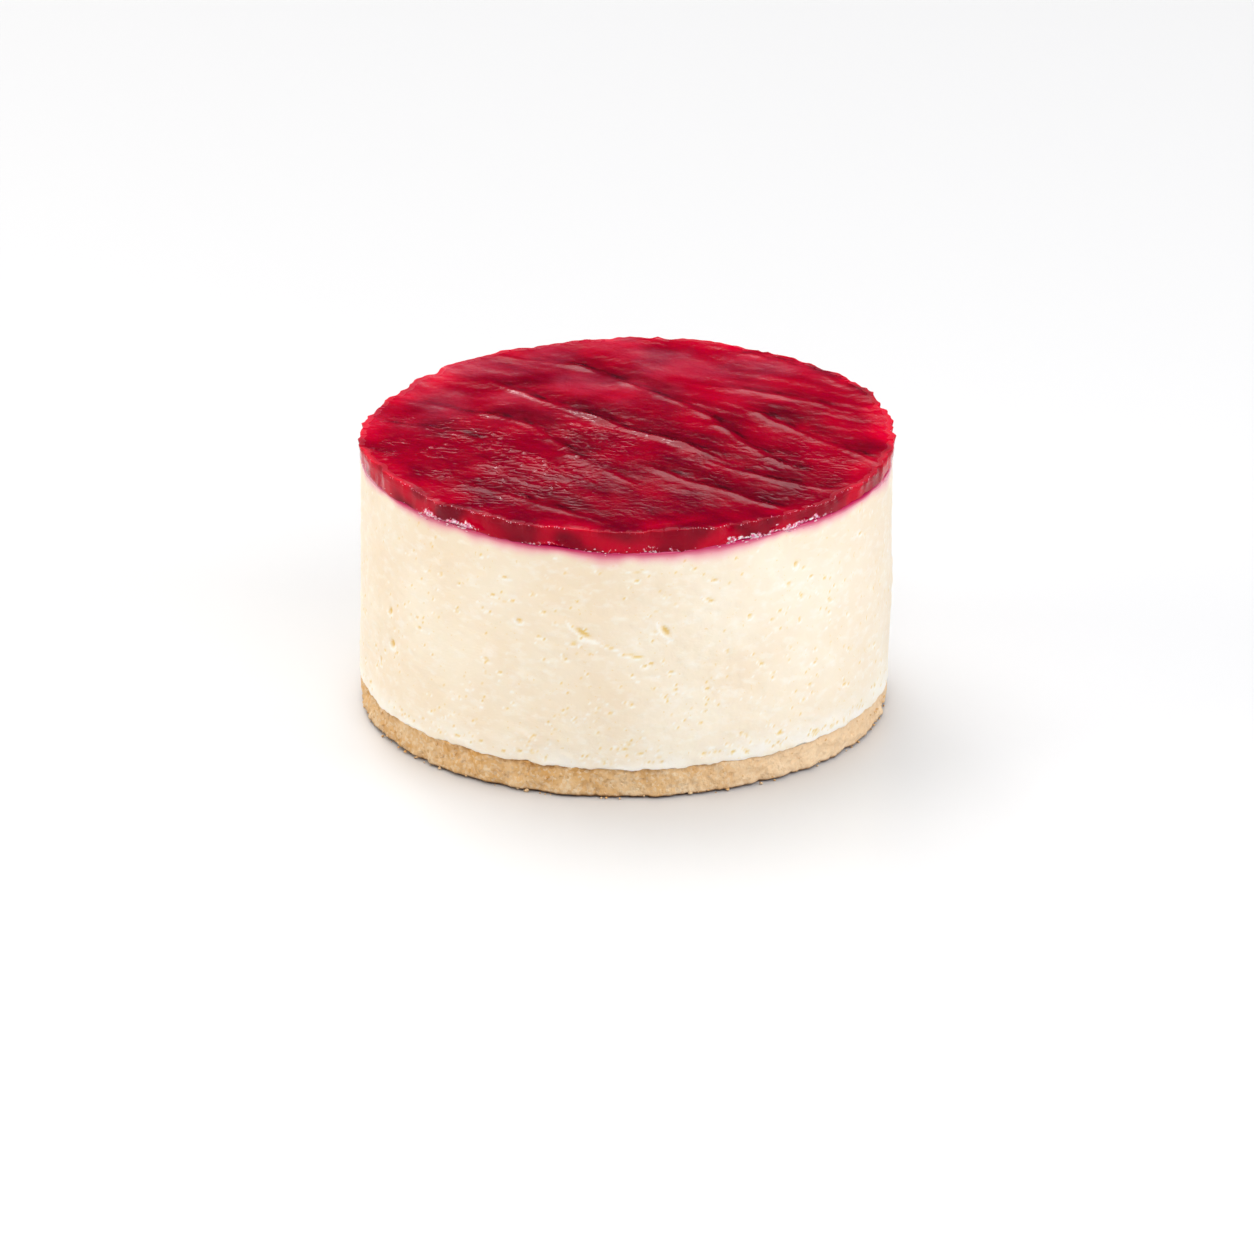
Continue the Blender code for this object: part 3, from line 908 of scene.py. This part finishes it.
    def froth_and_painted_glint_share(self, around: np.ndarray, height: np.ndarray) -> np.ndarray:
        """How much froth and painted glint lie along the lower edge, mostly in two stretches near the
        front.

        Args:
            around: each point's place round the cake, at its full radius.
            height: each point's height on the side, from 0 at the foot to 1 at the top.

        Returns:
            A share from 0 to 1.
        """
        degrees = np.degrees(np.arctan2(around[:, 0], -around[:, 1]))
        stretch = 0.25 * smooth_step(bumps(around, 7.0 * MM, 111.0), 0.1, 0.8)
        for first, last, strength in self.froth_and_glint_stretches:
            fade = smooth_step(degrees, first - 3.0, first + 2.0)
            fade *= smooth_step(degrees, last + 3.0, last - 2.0)
            stretch = np.maximum(stretch, strength * fade)
        reach_up = 0.26 + 0.20 * bumps(around, 2.2 * MM, 113.0) + 0.10 * bumps(around, 0.9 * MM, 117.0)
        return stretch * smooth_step(height / np.maximum(reach_up, 0.06), 1.25, 0.55)

    def dull_share(self, around: np.ndarray, height: np.ndarray) -> np.ndarray:
        """How matt the rim is, from 0 to 1: only short beads along it shine."""
        beads = bumps(around, 0.8 * MM, 131.0) + 0.8 * bumps(around, 6.0 * MM, 133.0)
        return smooth_step(height, 0.6, 0.85) * (1.0 - smooth_step(beads, 0.10, 0.45))

    def haze_and_painted_sheen_share(self, flat: np.ndarray) -> np.ndarray:
        """How hazy the top is, from 0 to 1, with a painted pinkish sheen: only in its rear part, in soft
        patches.
        """
        rear = smooth_step((flat[:, 1] - 0.2 * flat[:, 0]) / CAKE_RADIUS, 0.05, 0.50)
        film = bumps(flat, 7.5 * MM, 135.0) + 0.3 * bumps(flat, 2.6 * MM, 137.0)
        return self.haziest * rear * smooth_step(film, -0.95, 0.80)

    def glow(self, points: np.ndarray, reach: np.ndarray) -> np.ndarray:
        """How bright the painted glow of the red is.

        Args:
            points: places on the jelly.
            reach: each point's distance from the middle.

        Returns:
            A share from 0 to 1 of painted light: the rim and the side let light through, and the rear is
                painted brighter, in patches.
        """
        rim = near_rim(reach, 6.0, 1.0)
        side = near_rim(reach, 0.7, 0.2)
        patch = smooth_step(bumps(points, 5.0 * MM, 71.0), -0.45, 0.55)
        rearward = points[:, 1] + 0.4 * np.maximum(points[:, 0], 0.0)
        rear = smooth_step(rearward / CAKE_RADIUS, -0.8, 0.6)
        blotch = smooth_step(bumps(points, 8.0 * MM, 69.0), -0.5, 0.5)
        inner = (0.14 + 0.27 * blotch) * rear + rim * (0.25 * rear + 0.45 * patch)
        return np.clip(inner + side * (0.14 + 0.34 * patch), 0.0, 1.0)

    def build(self) -> bpy.types.Object:
        """Makes the jelly and puts it in its solid's place."""
        mesh = mesh_of("set_jelly", self.side.grow(woven_disc(self.cells, self.rings)))
        points = mesh_points(mesh)
        reach, outward = round_places(points)
        around = np.column_stack((CAKE_RADIUS * outward, np.zeros(len(points))))
        height = np.clip((points[:, 2] - self.side.foot) / (self.side.top - self.side.foot), 0.0, 1.0)
        on_rim = (height > 0.95) & (reach > CAKE_RADIUS - 0.5 * self.side.top_round)
        on_foot = (height < 0.12) & (reach > CAKE_RADIUS - 0.5 * self.side.foot_round)
        rim_share = np.minimum(reach / (CAKE_RADIUS - self.side.top_round), 1.0)
        shift = rim_share ** 6 * self.outline(around, height)
        on_side = near_rim(reach, 0.5, 0.1)
        upright = points * np.array((1.0, 1.0, 0.3))
        shift += on_side * (self.flutes.at(upright) + self.side_swell.at(points))
        # Froth at the foot, standing out a little, with painted glints in its colour
        froth_and_painted_glints = on_side * self.froth_and_painted_glint_share(around, height)
        shift += froth_and_painted_glints * MM * (0.08 + 0.14 * bumps(points, 0.8 * MM, 65.0))
        flat = points * np.array((1.0, 1.0, 0.0))
        relief, painted_shade_streak, shade = self.furrow_relief(flat)
        lip = near_rim(reach, 3.6, 0.5)
        fine, wrinkled = self.fine_relief(flat)
        relief = relief * (1.0 - 0.35 * lip) + fine + self.rim_relief(around, reach)
        # Painted glow: brighter red at the rim, the side and the rear
        add_share(mesh, "glow", self.glow(points, reach))
        # Painted shade behind each ridge, kept off the side
        add_share(mesh, "painted_shade_streak", painted_shade_streak * (1.0 - 0.5 * lip) * (1.0 - on_side))
        add_share(mesh, "shade", shade * (1.0 - 0.5 * lip) * (1.0 - on_side))
        add_share(mesh, "wrinkle", wrinkled * (1.0 - 0.7 * lip))
        add_share(mesh, "froth_and_painted_glints", froth_and_painted_glints)
        add_share(mesh, "dull", near_rim(reach, 1.1, 0.5) * self.dull_share(around, height))
        # Painted sheen and rougher haze on the rear of the top
        add_share(mesh, "haze_and_painted_sheen", self.haze_and_painted_sheen_share(flat) * (1.0 - 0.8 * shade) * (1.0 - on_side))
        points[:, :2] += shift[:, None] * outward
        relief += near_rim(reach, 0.9, 0.35) * standing(self.beading, around)
        points[:, 2] += height * relief
        points[:, 2] += on_side * (1.0 - height) ** 2 * standing(self.ragged_foot, around)
        points = settled(points)
        set_points(mesh, points)
        self.rim_points = points[on_rim]
        self.foot_points = points[on_foot]
        piece = place_piece("set_jelly", mesh, SetBerryJelly().build())
        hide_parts(Layer.JELLY.value)
        return piece


@dataclass(frozen=True)
class Cluster:
    """A run of bubbles along an edge of the jelly, between two turns from the front in degrees."""

    first: float
    last: float
    count: int
    at_rim: bool
    smallest: float
    largest: float
    spread: float


@dataclass
class EdgeBubbles:
    """Fine froth at the jelly's lower edge, and a dotted line of bubbles along its top edge, both pale as
    painted glints.
    """

    clusters: tuple[Cluster, ...] = (
        Cluster(-64.0, -12.0, 90, True, 0.09, 0.20, 0.05),
        Cluster(14.0, 64.0, 90, True, 0.09, 0.20, 0.06),
        Cluster(-180.0, 180.0, 110, True, 0.08, 0.14, 0.05),
        Cluster(-50.0, -34.0, 40, False, 0.12, 0.30, 0.30),
        Cluster(-10.0, 12.0, 30, False, 0.10, 0.24, 0.45),
        Cluster(20.0, 46.0, 60, False, 0.12, 0.32, 0.40),
        Cluster(-180.0, 180.0, 140, False, 0.10, 0.20, 0.20),
    )

    def build(self, jelly: BerryJelly) -> bpy.types.Object:
        """Makes the bubbles on the jelly's own edges, joined in one mesh.

        Args:
            jelly: the built jelly, which knows where its edges run.

        Returns:
            The new object.
        """
        draw = np.random.default_rng(41)
        shape = bmesh.new()
        for cluster in self.clusters:
            edge = jelly.rim_points if cluster.at_rim else jelly.foot_points
            turns = np.degrees(np.arctan2(edge[:, 0], -edge[:, 1]))
            for _ in range(cluster.count):
                turn = draw.uniform(cluster.first, cluster.last)
                seat = Vector(edge[np.argmin(np.abs(turns - turn))])
                size = (cluster.smallest + (cluster.largest - cluster.smallest) * draw.random() ** 2.0) * MM
                if not cluster.at_rim:
                    wave = noise.noise(Vector((turn / 4.0, 0.0, 0.0)))
                    wave += 0.4 * noise.noise(Vector((turn, 0.0, 0.0)))
                    seat.z += (0.45 * wave - 0.1) * MM
                seat.z += draw.normal() * cluster.spread * MM
                wide = draw.uniform(1.0, 1.6 if cluster.at_rim else 3.6)
                turn_about = Matrix.Rotation(math.atan2(seat.x, -seat.y) + draw.normal() * 0.2, 3, "Z")
                for vertex in bmesh.ops.create_icosphere(shape, subdivisions=1, radius=0.5 * size)["verts"]:
                    lump = 1.0 + 0.3 * noise.noise(vertex.co / (0.4 * size) + seat / MM)
                    squashed = Vector((wide * vertex.co.x, 0.5 * vertex.co.y, 0.8 * vertex.co.z))
                    vertex.co = turn_about @ (lump * squashed) + seat
        mesh = mesh_of("edge_bubbles", shape)
        return place_piece("edge_bubbles", mesh, FrothWithPaintedGlints().build())


@dataclass(frozen=True)
class Pit:
    """A hollow in the filling's side: its turn from the front, height, width and tallness in mm."""

    degrees: float
    height: float
    width: float
    tallness: float
    slant: float = 0.0


@dataclass
class CheeseFilling:
    """The cream cheese layer, with air holes, gouges and smears in its side."""

    segments: int = 768
    pits: tuple[Pit, ...] = (
        Pit(-9.0, 24.9, 3.2, 0.9, -33.0),
        Pit(8.4, 25.2, 2.3, 1.0, -52.0),
        Pit(2.2, 34.2, 1.9, 0.35),
        Pit(17.9, 29.2, 1.7, 0.5, -25.0),
        Pit(2.2, 21.5, 3.2, 0.5, -12.0),
        Pit(5.4, 20.4, 1.0, 0.6, -25.0),
        Pit(-3.4, 22.9, 1.6, 0.4, -18.0),
        Pit(38.6, 32.0, 0.8, 1.1),
        Pit(-61.0, 20.4, 1.1, 1.2),
        Pit(-60.0, 15.7, 1.2, 1.4),
        Pit(-66.0, 11.8, 1.0, 1.0),
        Pit(-23.0, 25.7, 1.1, 0.8, -20.0),
        Pit(-20.0, 29.9, 0.7, 0.5),
        Pit(-17.4, 27.4, 0.9, 0.5, -30.0),
        Pit(-26.3, 31.7, 1.2, 0.4, -12.0),
        Pit(26.9, 26.0, 0.8, 0.8),
        Pit(32.5, 24.7, 0.6, 0.6),
        Pit(40.3, 27.0, 0.8, 0.7),
        Pit(39.8, 23.6, 0.6, 0.7),
    )
    bowl_floor: float = 0.35
    bowl_edge: float = 1.25
    lip_place: float = 1.45
    lip_width: float = 0.35
    lip_height: float = 0.20
    small_pits: int = 3200
    smallest_pit: float = 0.18
    pit_spread: float = 0.40
    pit_gap: float = -0.08
    wave: Relief = Relief(0.16, 9.0, 23.0)
    lumps: Relief = Relief(0.045, 2.0, 73.0)
    smears: Relief = Relief(0.05, 5.0, 75.0, 1.1, -16.0)
    ragged_foot: tuple[Relief, ...] = (Relief(0.16, 2.1, 83.0), Relief(0.10, 0.9, 89.0))
    side: Side = field(default_factory=lambda: Side(
        radius=CAKE_RADIUS, top=JELLY_SEAM, foot=BASE_SEAM - 0.1 * MM,
        top_round=0.35 * MM, foot_round=0.18 * MM, rows=96, arc_steps=3))

    def all_pits(self) -> list[Pit]:
        """The named hollows and many small ones, drawn from one seed.

        Returns:
            The pits; the small ones lie thicker low down, and are missing in some patches.
        """
        draw = np.random.default_rng(5)
        found = list(self.pits)
        for _ in range(self.small_pits):
            height = 5.6 + 30.0 * draw.random() ** 2.3
            size = self.smallest_pit + self.pit_spread * draw.random() ** 4.0
            turn = draw.uniform(-180.0, 180.0)
            if noise.noise(Vector((turn / 9.0, height / 6.0, 0.0))) < self.pit_gap:
                continue
            found.append(Pit(turn, height, size * draw.uniform(1.0, 2.4), size, draw.uniform(-35.0, 5.0)))
        return found

    def pit_depths(self, turns: np.ndarray,
                   heights: np.ndarray) -> tuple[np.ndarray, np.ndarray, np.ndarray]:
        """How deep the side is sunk by its pits.

        Args:
            turns: each point's turn from the front, in radians.
            heights: each point's height, in metres.

        Returns:
            The depth in metres, and two shares from 0 to 1: how far down a pit each point is, and how
            much it is part of the pushed-up lip below one.
        """
        depths = np.zeros(len(turns))
        shares = np.zeros(len(turns))
        lips = np.zeros(len(turns))
        for pit in self.all_pits():
            offset = turns - math.radians(pit.degrees)
            away = np.arctan2(np.sin(offset), np.cos(offset))
            across = away * CAKE_RADIUS
            up = heights - pit.height * MM
            near = np.nonzero((np.abs(across) < 2.5 * MM) & (np.abs(up) < 2.0 * MM))[0]
            slant = math.radians(pit.slant)
            long_way = across[near] * math.cos(slant) + up[near] * math.sin(slant)
            short_way = up[near] * math.cos(slant) - across[near] * math.sin(slant)
            off = np.hypot(long_way / (0.5 * pit.width * MM), short_way / (0.5 * pit.tallness * MM))
            bowl = 1.0 - smooth_step(off, self.bowl_floor, self.bowl_edge)
            lip = np.exp(-(((off - self.lip_place) / self.lip_width) ** 2)) * (short_way < 0.0)
            size = 0.5 * min(pit.tallness, pit.width) * MM
            depths[near] = np.maximum(depths[near], (0.35 + 0.22 * min(pit.width, 1.0)) * size * bowl)
            depths[near] -= self.lip_height * size * lip
            shares[near] = np.maximum(shares[near], 1.0 - smooth_step(off, 0.3, 1.05))
            lips[near] = np.maximum(lips[near], lip)
        return depths, shares, lips

    def build(self) -> bpy.types.Object:
        """Makes the filling and puts it in its solid's place."""
        mesh = mesh_of("baked_filling", self.side.grow(plain_disc(self.segments)))
        points = mesh_points(mesh)
        outward = round_places(points)[1]
        around = np.column_stack((CAKE_RADIUS * outward, points[:, 2]))
        turns = np.arctan2(outward[:, 0], -outward[:, 1])
        low = 1.0 - smooth_step(points[:, 2], BASE_SEAM, BASE_SEAM + 4.5 * MM)
        depth, pit, lip = self.pit_depths(turns, points[:, 2])
        shift = self.wave.at(around) - depth + self.lumps.at(around * np.array((1.0, 1.0, 1.6)))
        wound = np.column_stack((CAKE_RADIUS * turns, points[:, 2], np.zeros(len(points))))
        shift += self.smears.at(wound) * smooth_step(bumps(around, 9.0 * MM, 77.0), -0.2, 0.5)
        shift += (0.025 + 0.03 * low) * MM * bumps(around, 0.9 * MM, 79.0)
        points[:, :2] += shift[:, None] * outward
        foot = 1.0 - smooth_step(points[:, 2], self.side.foot, self.side.foot + 1.6 * MM)
        ring = around * np.array((1.0, 1.0, 0.0))
        points[:, 2] += foot * standing(self.ragged_foot, ring)
        set_points(mesh, settled(points))
        below = JELLY_SEAM - around[:, 2]
        seep = (2.3 + 0.9 * bumps(ring, 7.0 * MM, 97.0) + 0.25 * bumps(ring, 1.8 * MM, 101.0)) * MM
        stain = 1.0 - smooth_step(below / np.maximum(seep, 0.8 * MM), 0.0, 1.0)
        add_share(mesh, "stain", stain)
        add_share(mesh, "pit", 0.85 * pit)
        add_share(mesh, "core", 0.45 * smooth_step(depth, 0.12 * MM, 0.40 * MM))
        # The low band is whiter, partly smears of cream and partly painted light; the lip below a pit gets
        # a painted highlight
        patchy = smooth_step(bumps(around * np.array((0.5, 0.5, 1.0)), 3.0 * MM, 103.0), -0.6, 0.4)
        smear_and_painted_light = low * (0.3 + 0.7 * patchy)
        add_share(mesh, "smear_and_painted_light", np.maximum(0.8 * smear_and_painted_light, lip))
        piece = place_piece("baked_filling", mesh, BakedCream().build())
        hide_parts(Layer.FILLING.value)
        return piece


@dataclass
class BiscuitBase:
    """The pressed crumb disc, rough at its side and foot."""

    segments: int = 1100
    crumble: tuple[Relief, ...] = (
        Relief(0.24, 2.6, 29.0), Relief(0.10, 1.3, 31.0), Relief(0.09, 0.6, 107.0))
    nick: float = 0.25 * MM
    side: Side = field(default_factory=lambda: Side(
        radius=CAKE_RADIUS - BASE_INSET, top=BASE_SEAM, foot=0.0,
        top_round=0.2 * MM, foot_round=0.65 * MM, rows=20, arc_steps=6, undercut=1.05 * MM))

    def build(self) -> bpy.types.Object:
        """Makes the base and puts it in its solid's place."""
        mesh = mesh_of("crumb_base", self.side.grow(plain_disc(self.segments)))
        points = mesh_points(mesh)
        outward = round_places(points)[1]
        around = np.column_stack((CAKE_RADIUS * outward, points[:, 2]))
        shift = standing(self.crumble, around)
        shift -= self.nick * np.clip(bumps(around, 1.1 * MM, 109.0) - 0.45, 0.0, 1.0)
        points[:, :2] += shift[:, None] * outward
        set_points(mesh, settled(points))
        # Near the top edge: toasted crumbs and painted shade in the seam below the filling
        edge = smooth_step(around[:, 2], BASE_SEAM - 1.1 * MM, BASE_SEAM - 0.2 * MM)
        add_share(mesh, "toast_and_painted_seam_shade", edge * smooth_step(bumps(around, 6.0 * MM, 121.0), -0.7, 0.5))
        # Painted shade along the lowest part of the side, where the foot meets the floor
        add_share(mesh, "under", smooth_step(around[:, 2], 0.75 * MM, 0.30 * MM))
        # Painted light: lighter towards +X
        add_share(mesh, "pale", 0.70 * smooth_step(outward[:, 0], 0.0, 0.7))
        piece = place_piece("crumb_base", mesh, PressedCrumb().build())
        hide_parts(Layer.BASE.value)
        return piece


@dataclass
class FootCrumbs:
    """Small crumbs that cling to the base's side and foot, joined in one mesh."""

    count: int = 260
    sizes: tuple[float, float] = (0.28 * MM, 0.85 * MM)

    def build(self, finish: bpy.types.Material) -> bpy.types.Object:
        """Makes the crumbs, each a lump of its own shape, sunk part way into the base."""
        draw = np.random.default_rng(17)
        shape = bmesh.new()
        for number in range(self.count):
            size = self.sizes[0] + (self.sizes[1] - self.sizes[0]) * draw.random() ** 2.5
            turn = draw.uniform(0.0, 2.0 * math.pi)
            height = 0.35 * size + (BASE_SEAM - size) * draw.random() ** 2.2
            reach = CAKE_RADIUS - BASE_INSET + draw.uniform(-0.15, 0.12) * size
            made = bmesh.ops.create_icosphere(shape, subdivisions=1, radius=0.5 * size)["verts"]
            for vertex in made:
                lump = noise.noise(vertex.co / (0.45 * size) + Vector((3.1 * number, 0.0, 7.0)))
                vertex.co *= 1.0 + 0.55 * lump
            spin = Matrix.Rotation(draw.uniform(0.0, 2.0 * math.pi), 3, "Z")
            squash = Vector((1.0, draw.uniform(0.6, 1.0), draw.uniform(0.5, 0.8)))
            place = Vector((reach * math.cos(turn), reach * math.sin(turn), height))
            for vertex in made:
                vertex.co = spin @ Vector(a * b for a, b in zip(vertex.co, squash)) + place
                vertex.co.z = max(vertex.co.z, 0.02 * MM)
        mesh = mesh_of("foot_crumbs", shape)
        set_points(mesh, settled(mesh_points(mesh)))
        return place_piece("foot_crumbs", mesh, finish)


@dataclass(frozen=True)
class Softbox:
    """One soft light: its name, place and size in metres, power in watts and sRGB hex colour."""

    name: str
    place: tuple[float, float, float]
    size: tuple[float, float]
    watts: float
    colour: str


@dataclass
class Studio:
    """A pale floor, soft lights and the camera at the photograph's angle."""

    image_size: int = 1254
    focal_pixels: float = 8458.0
    distance: float = 1.2
    elevation: float = math.radians(22.24)
    aim: tuple[float, float, float] = (0.19 * MM, 0.0, 10.6 * MM)
    dim_below: float = math.sin(math.radians(25.0))
    bright_above: float = math.sin(math.radians(54.0))
    wall_glow: float = 0.012
    ceiling_glow: float = 1.0
    window_way: tuple[float, float, float] = (-0.21, 0.55, 0.81)
    window_glow: float = 3.5
    window_edge: float = math.cos(math.radians(33.0))
    window_core: float = math.cos(math.radians(8.0))
    softboxes: tuple[Softbox, ...] = (
        Softbox("left_light", (-1.14, -0.18, 0.50), (0.7, 0.6), 5.75, "fff7ea"),
        Softbox("right_light", (1.10, -0.38, 0.50), (0.7, 0.6), 6.0, "f2f7ff"),
        Softbox("front_light", (0.25, -0.95, 0.85), (0.8, 0.6), 5.3, "fffefc"),
        Softbox("glint_light", (-0.35, 0.95, 0.75), (0.16, 0.16), 1.0, "ffffff"),
    )

    def floor(self) -> None:
        """A wide pale floor with a low sheen."""
        shape = bmesh.new()
        bmesh.ops.create_grid(shape, x_segments=1, y_segments=1, size=6.0)
        mesh = mesh_of("floor", shape)
        material = bpy.data.materials.new("pale_floor")
        material.use_nodes = True
        shader = material.node_tree.nodes["Principled BSDF"].inputs
        shader["Base Color"].default_value = linear("dbdbdc")
        shader["Roughness"].default_value = 0.35
        mesh.materials.append(material)
        ground = bpy.data.objects.new("floor", mesh)
        bpy.context.scene.collection.objects.link(ground)

    def softbox(self, box: Softbox) -> None:
        """Hangs one soft light that faces the cake."""
        data = bpy.data.lights.new(box.name, "AREA")
        data.shape = "RECTANGLE"
        data.size, data.size_y = box.size
        data.energy = box.watts
        data.color = linear(box.colour)[:3]
        light = bpy.data.objects.new(box.name, data)
        light.location = box.place
        aim = Vector((0.0, 0.0, 0.5 * CAKE_HEIGHT)) - Vector(box.place)
        light.rotation_euler = aim.to_track_quat("-Z", "Y").to_euler()
        bpy.context.scene.collection.objects.link(light)

    def overhead(self) -> None:
        """A world that is bright overhead, dim near the horizon and softly bright high behind the cake."""
        world = bpy.data.worlds.new("soft_ceiling")
        world.use_nodes = True
        tree = world.node_tree
        direction = add_node(tree, "TexCoord").outputs["Generated"]
        height = add_node(tree, "SeparateXYZ", {}, {"Vector": direction}).outputs["Z"]
        glow = add_node(tree, "MapRange", {
            "interpolation_type": "SMOOTHSTEP", "From Min": self.dim_below, "From Max": self.bright_above,
            "To Min": self.wall_glow, "To Max": self.ceiling_glow}, {"Value": height}).outputs["Result"]
        facing = add_node(tree, "VectorMath", {"operation": "DOT_PRODUCT", 1: self.window_way},
                          {0: direction}).outputs["Value"]
        window = add_node(tree, "MapRange", {
            "interpolation_type": "SMOOTHSTEP", "From Min": self.window_edge, "From Max": self.window_core,
            "To Max": self.window_glow}, {"Value": facing}).outputs["Result"]
        strength = add_node(tree, "Math", {"operation": "ADD"}, {0: glow, 1: window}).outputs["Value"]
        background = tree.nodes["Background"]
        background.inputs["Color"].default_value = linear("ffffff")
        tree.links.new(strength, background.inputs["Strength"])
        bpy.context.scene.world = world

    def lights(self) -> None:
        """Soft light from both sides and the front, and a small one behind for the glints on the jelly."""
        for box in self.softboxes:
            self.softbox(box)
        self.overhead()

    def camera(self) -> None:
        """The camera, as far and as high as the cake's outline in the photograph says."""
        data = bpy.data.cameras.new("camera")
        data.sensor_fit = "HORIZONTAL"
        data.sensor_width = 36.0
        data.lens = 36.0 * self.focal_pixels / self.image_size
        camera = bpy.data.objects.new("camera", data)
        away = Vector((0.0, -math.cos(self.elevation), math.sin(self.elevation)))
        camera.location = Vector(self.aim) + self.distance * away
        camera.rotation_euler = (0.5 * math.pi - self.elevation, 0.0, 0.0)
        bpy.context.scene.collection.objects.link(camera)
        bpy.context.scene.camera = camera

    def build(self) -> None:
        """Sets up the whole studio."""
        self.camera()
        self.floor()
        self.lights()
        bpy.context.scene.view_settings.view_transform = "Standard"
        LOG.info("studio: %.0f mm lens", bpy.context.scene.camera.data.lens)


def main() -> None:
    """Builds the studio and the cake from the bottom up."""
    logging.basicConfig(level=logging.INFO, format="%(name)s: %(message)s")
    Studio().build()
    base = BiscuitBase().build()
    FootCrumbs().build(base.data.materials[0])
    CheeseFilling().build()
    jelly = BerryJelly()
    jelly.build()
    EdgeBubbles().build(jelly)


if __name__ == "__main__":
    main()
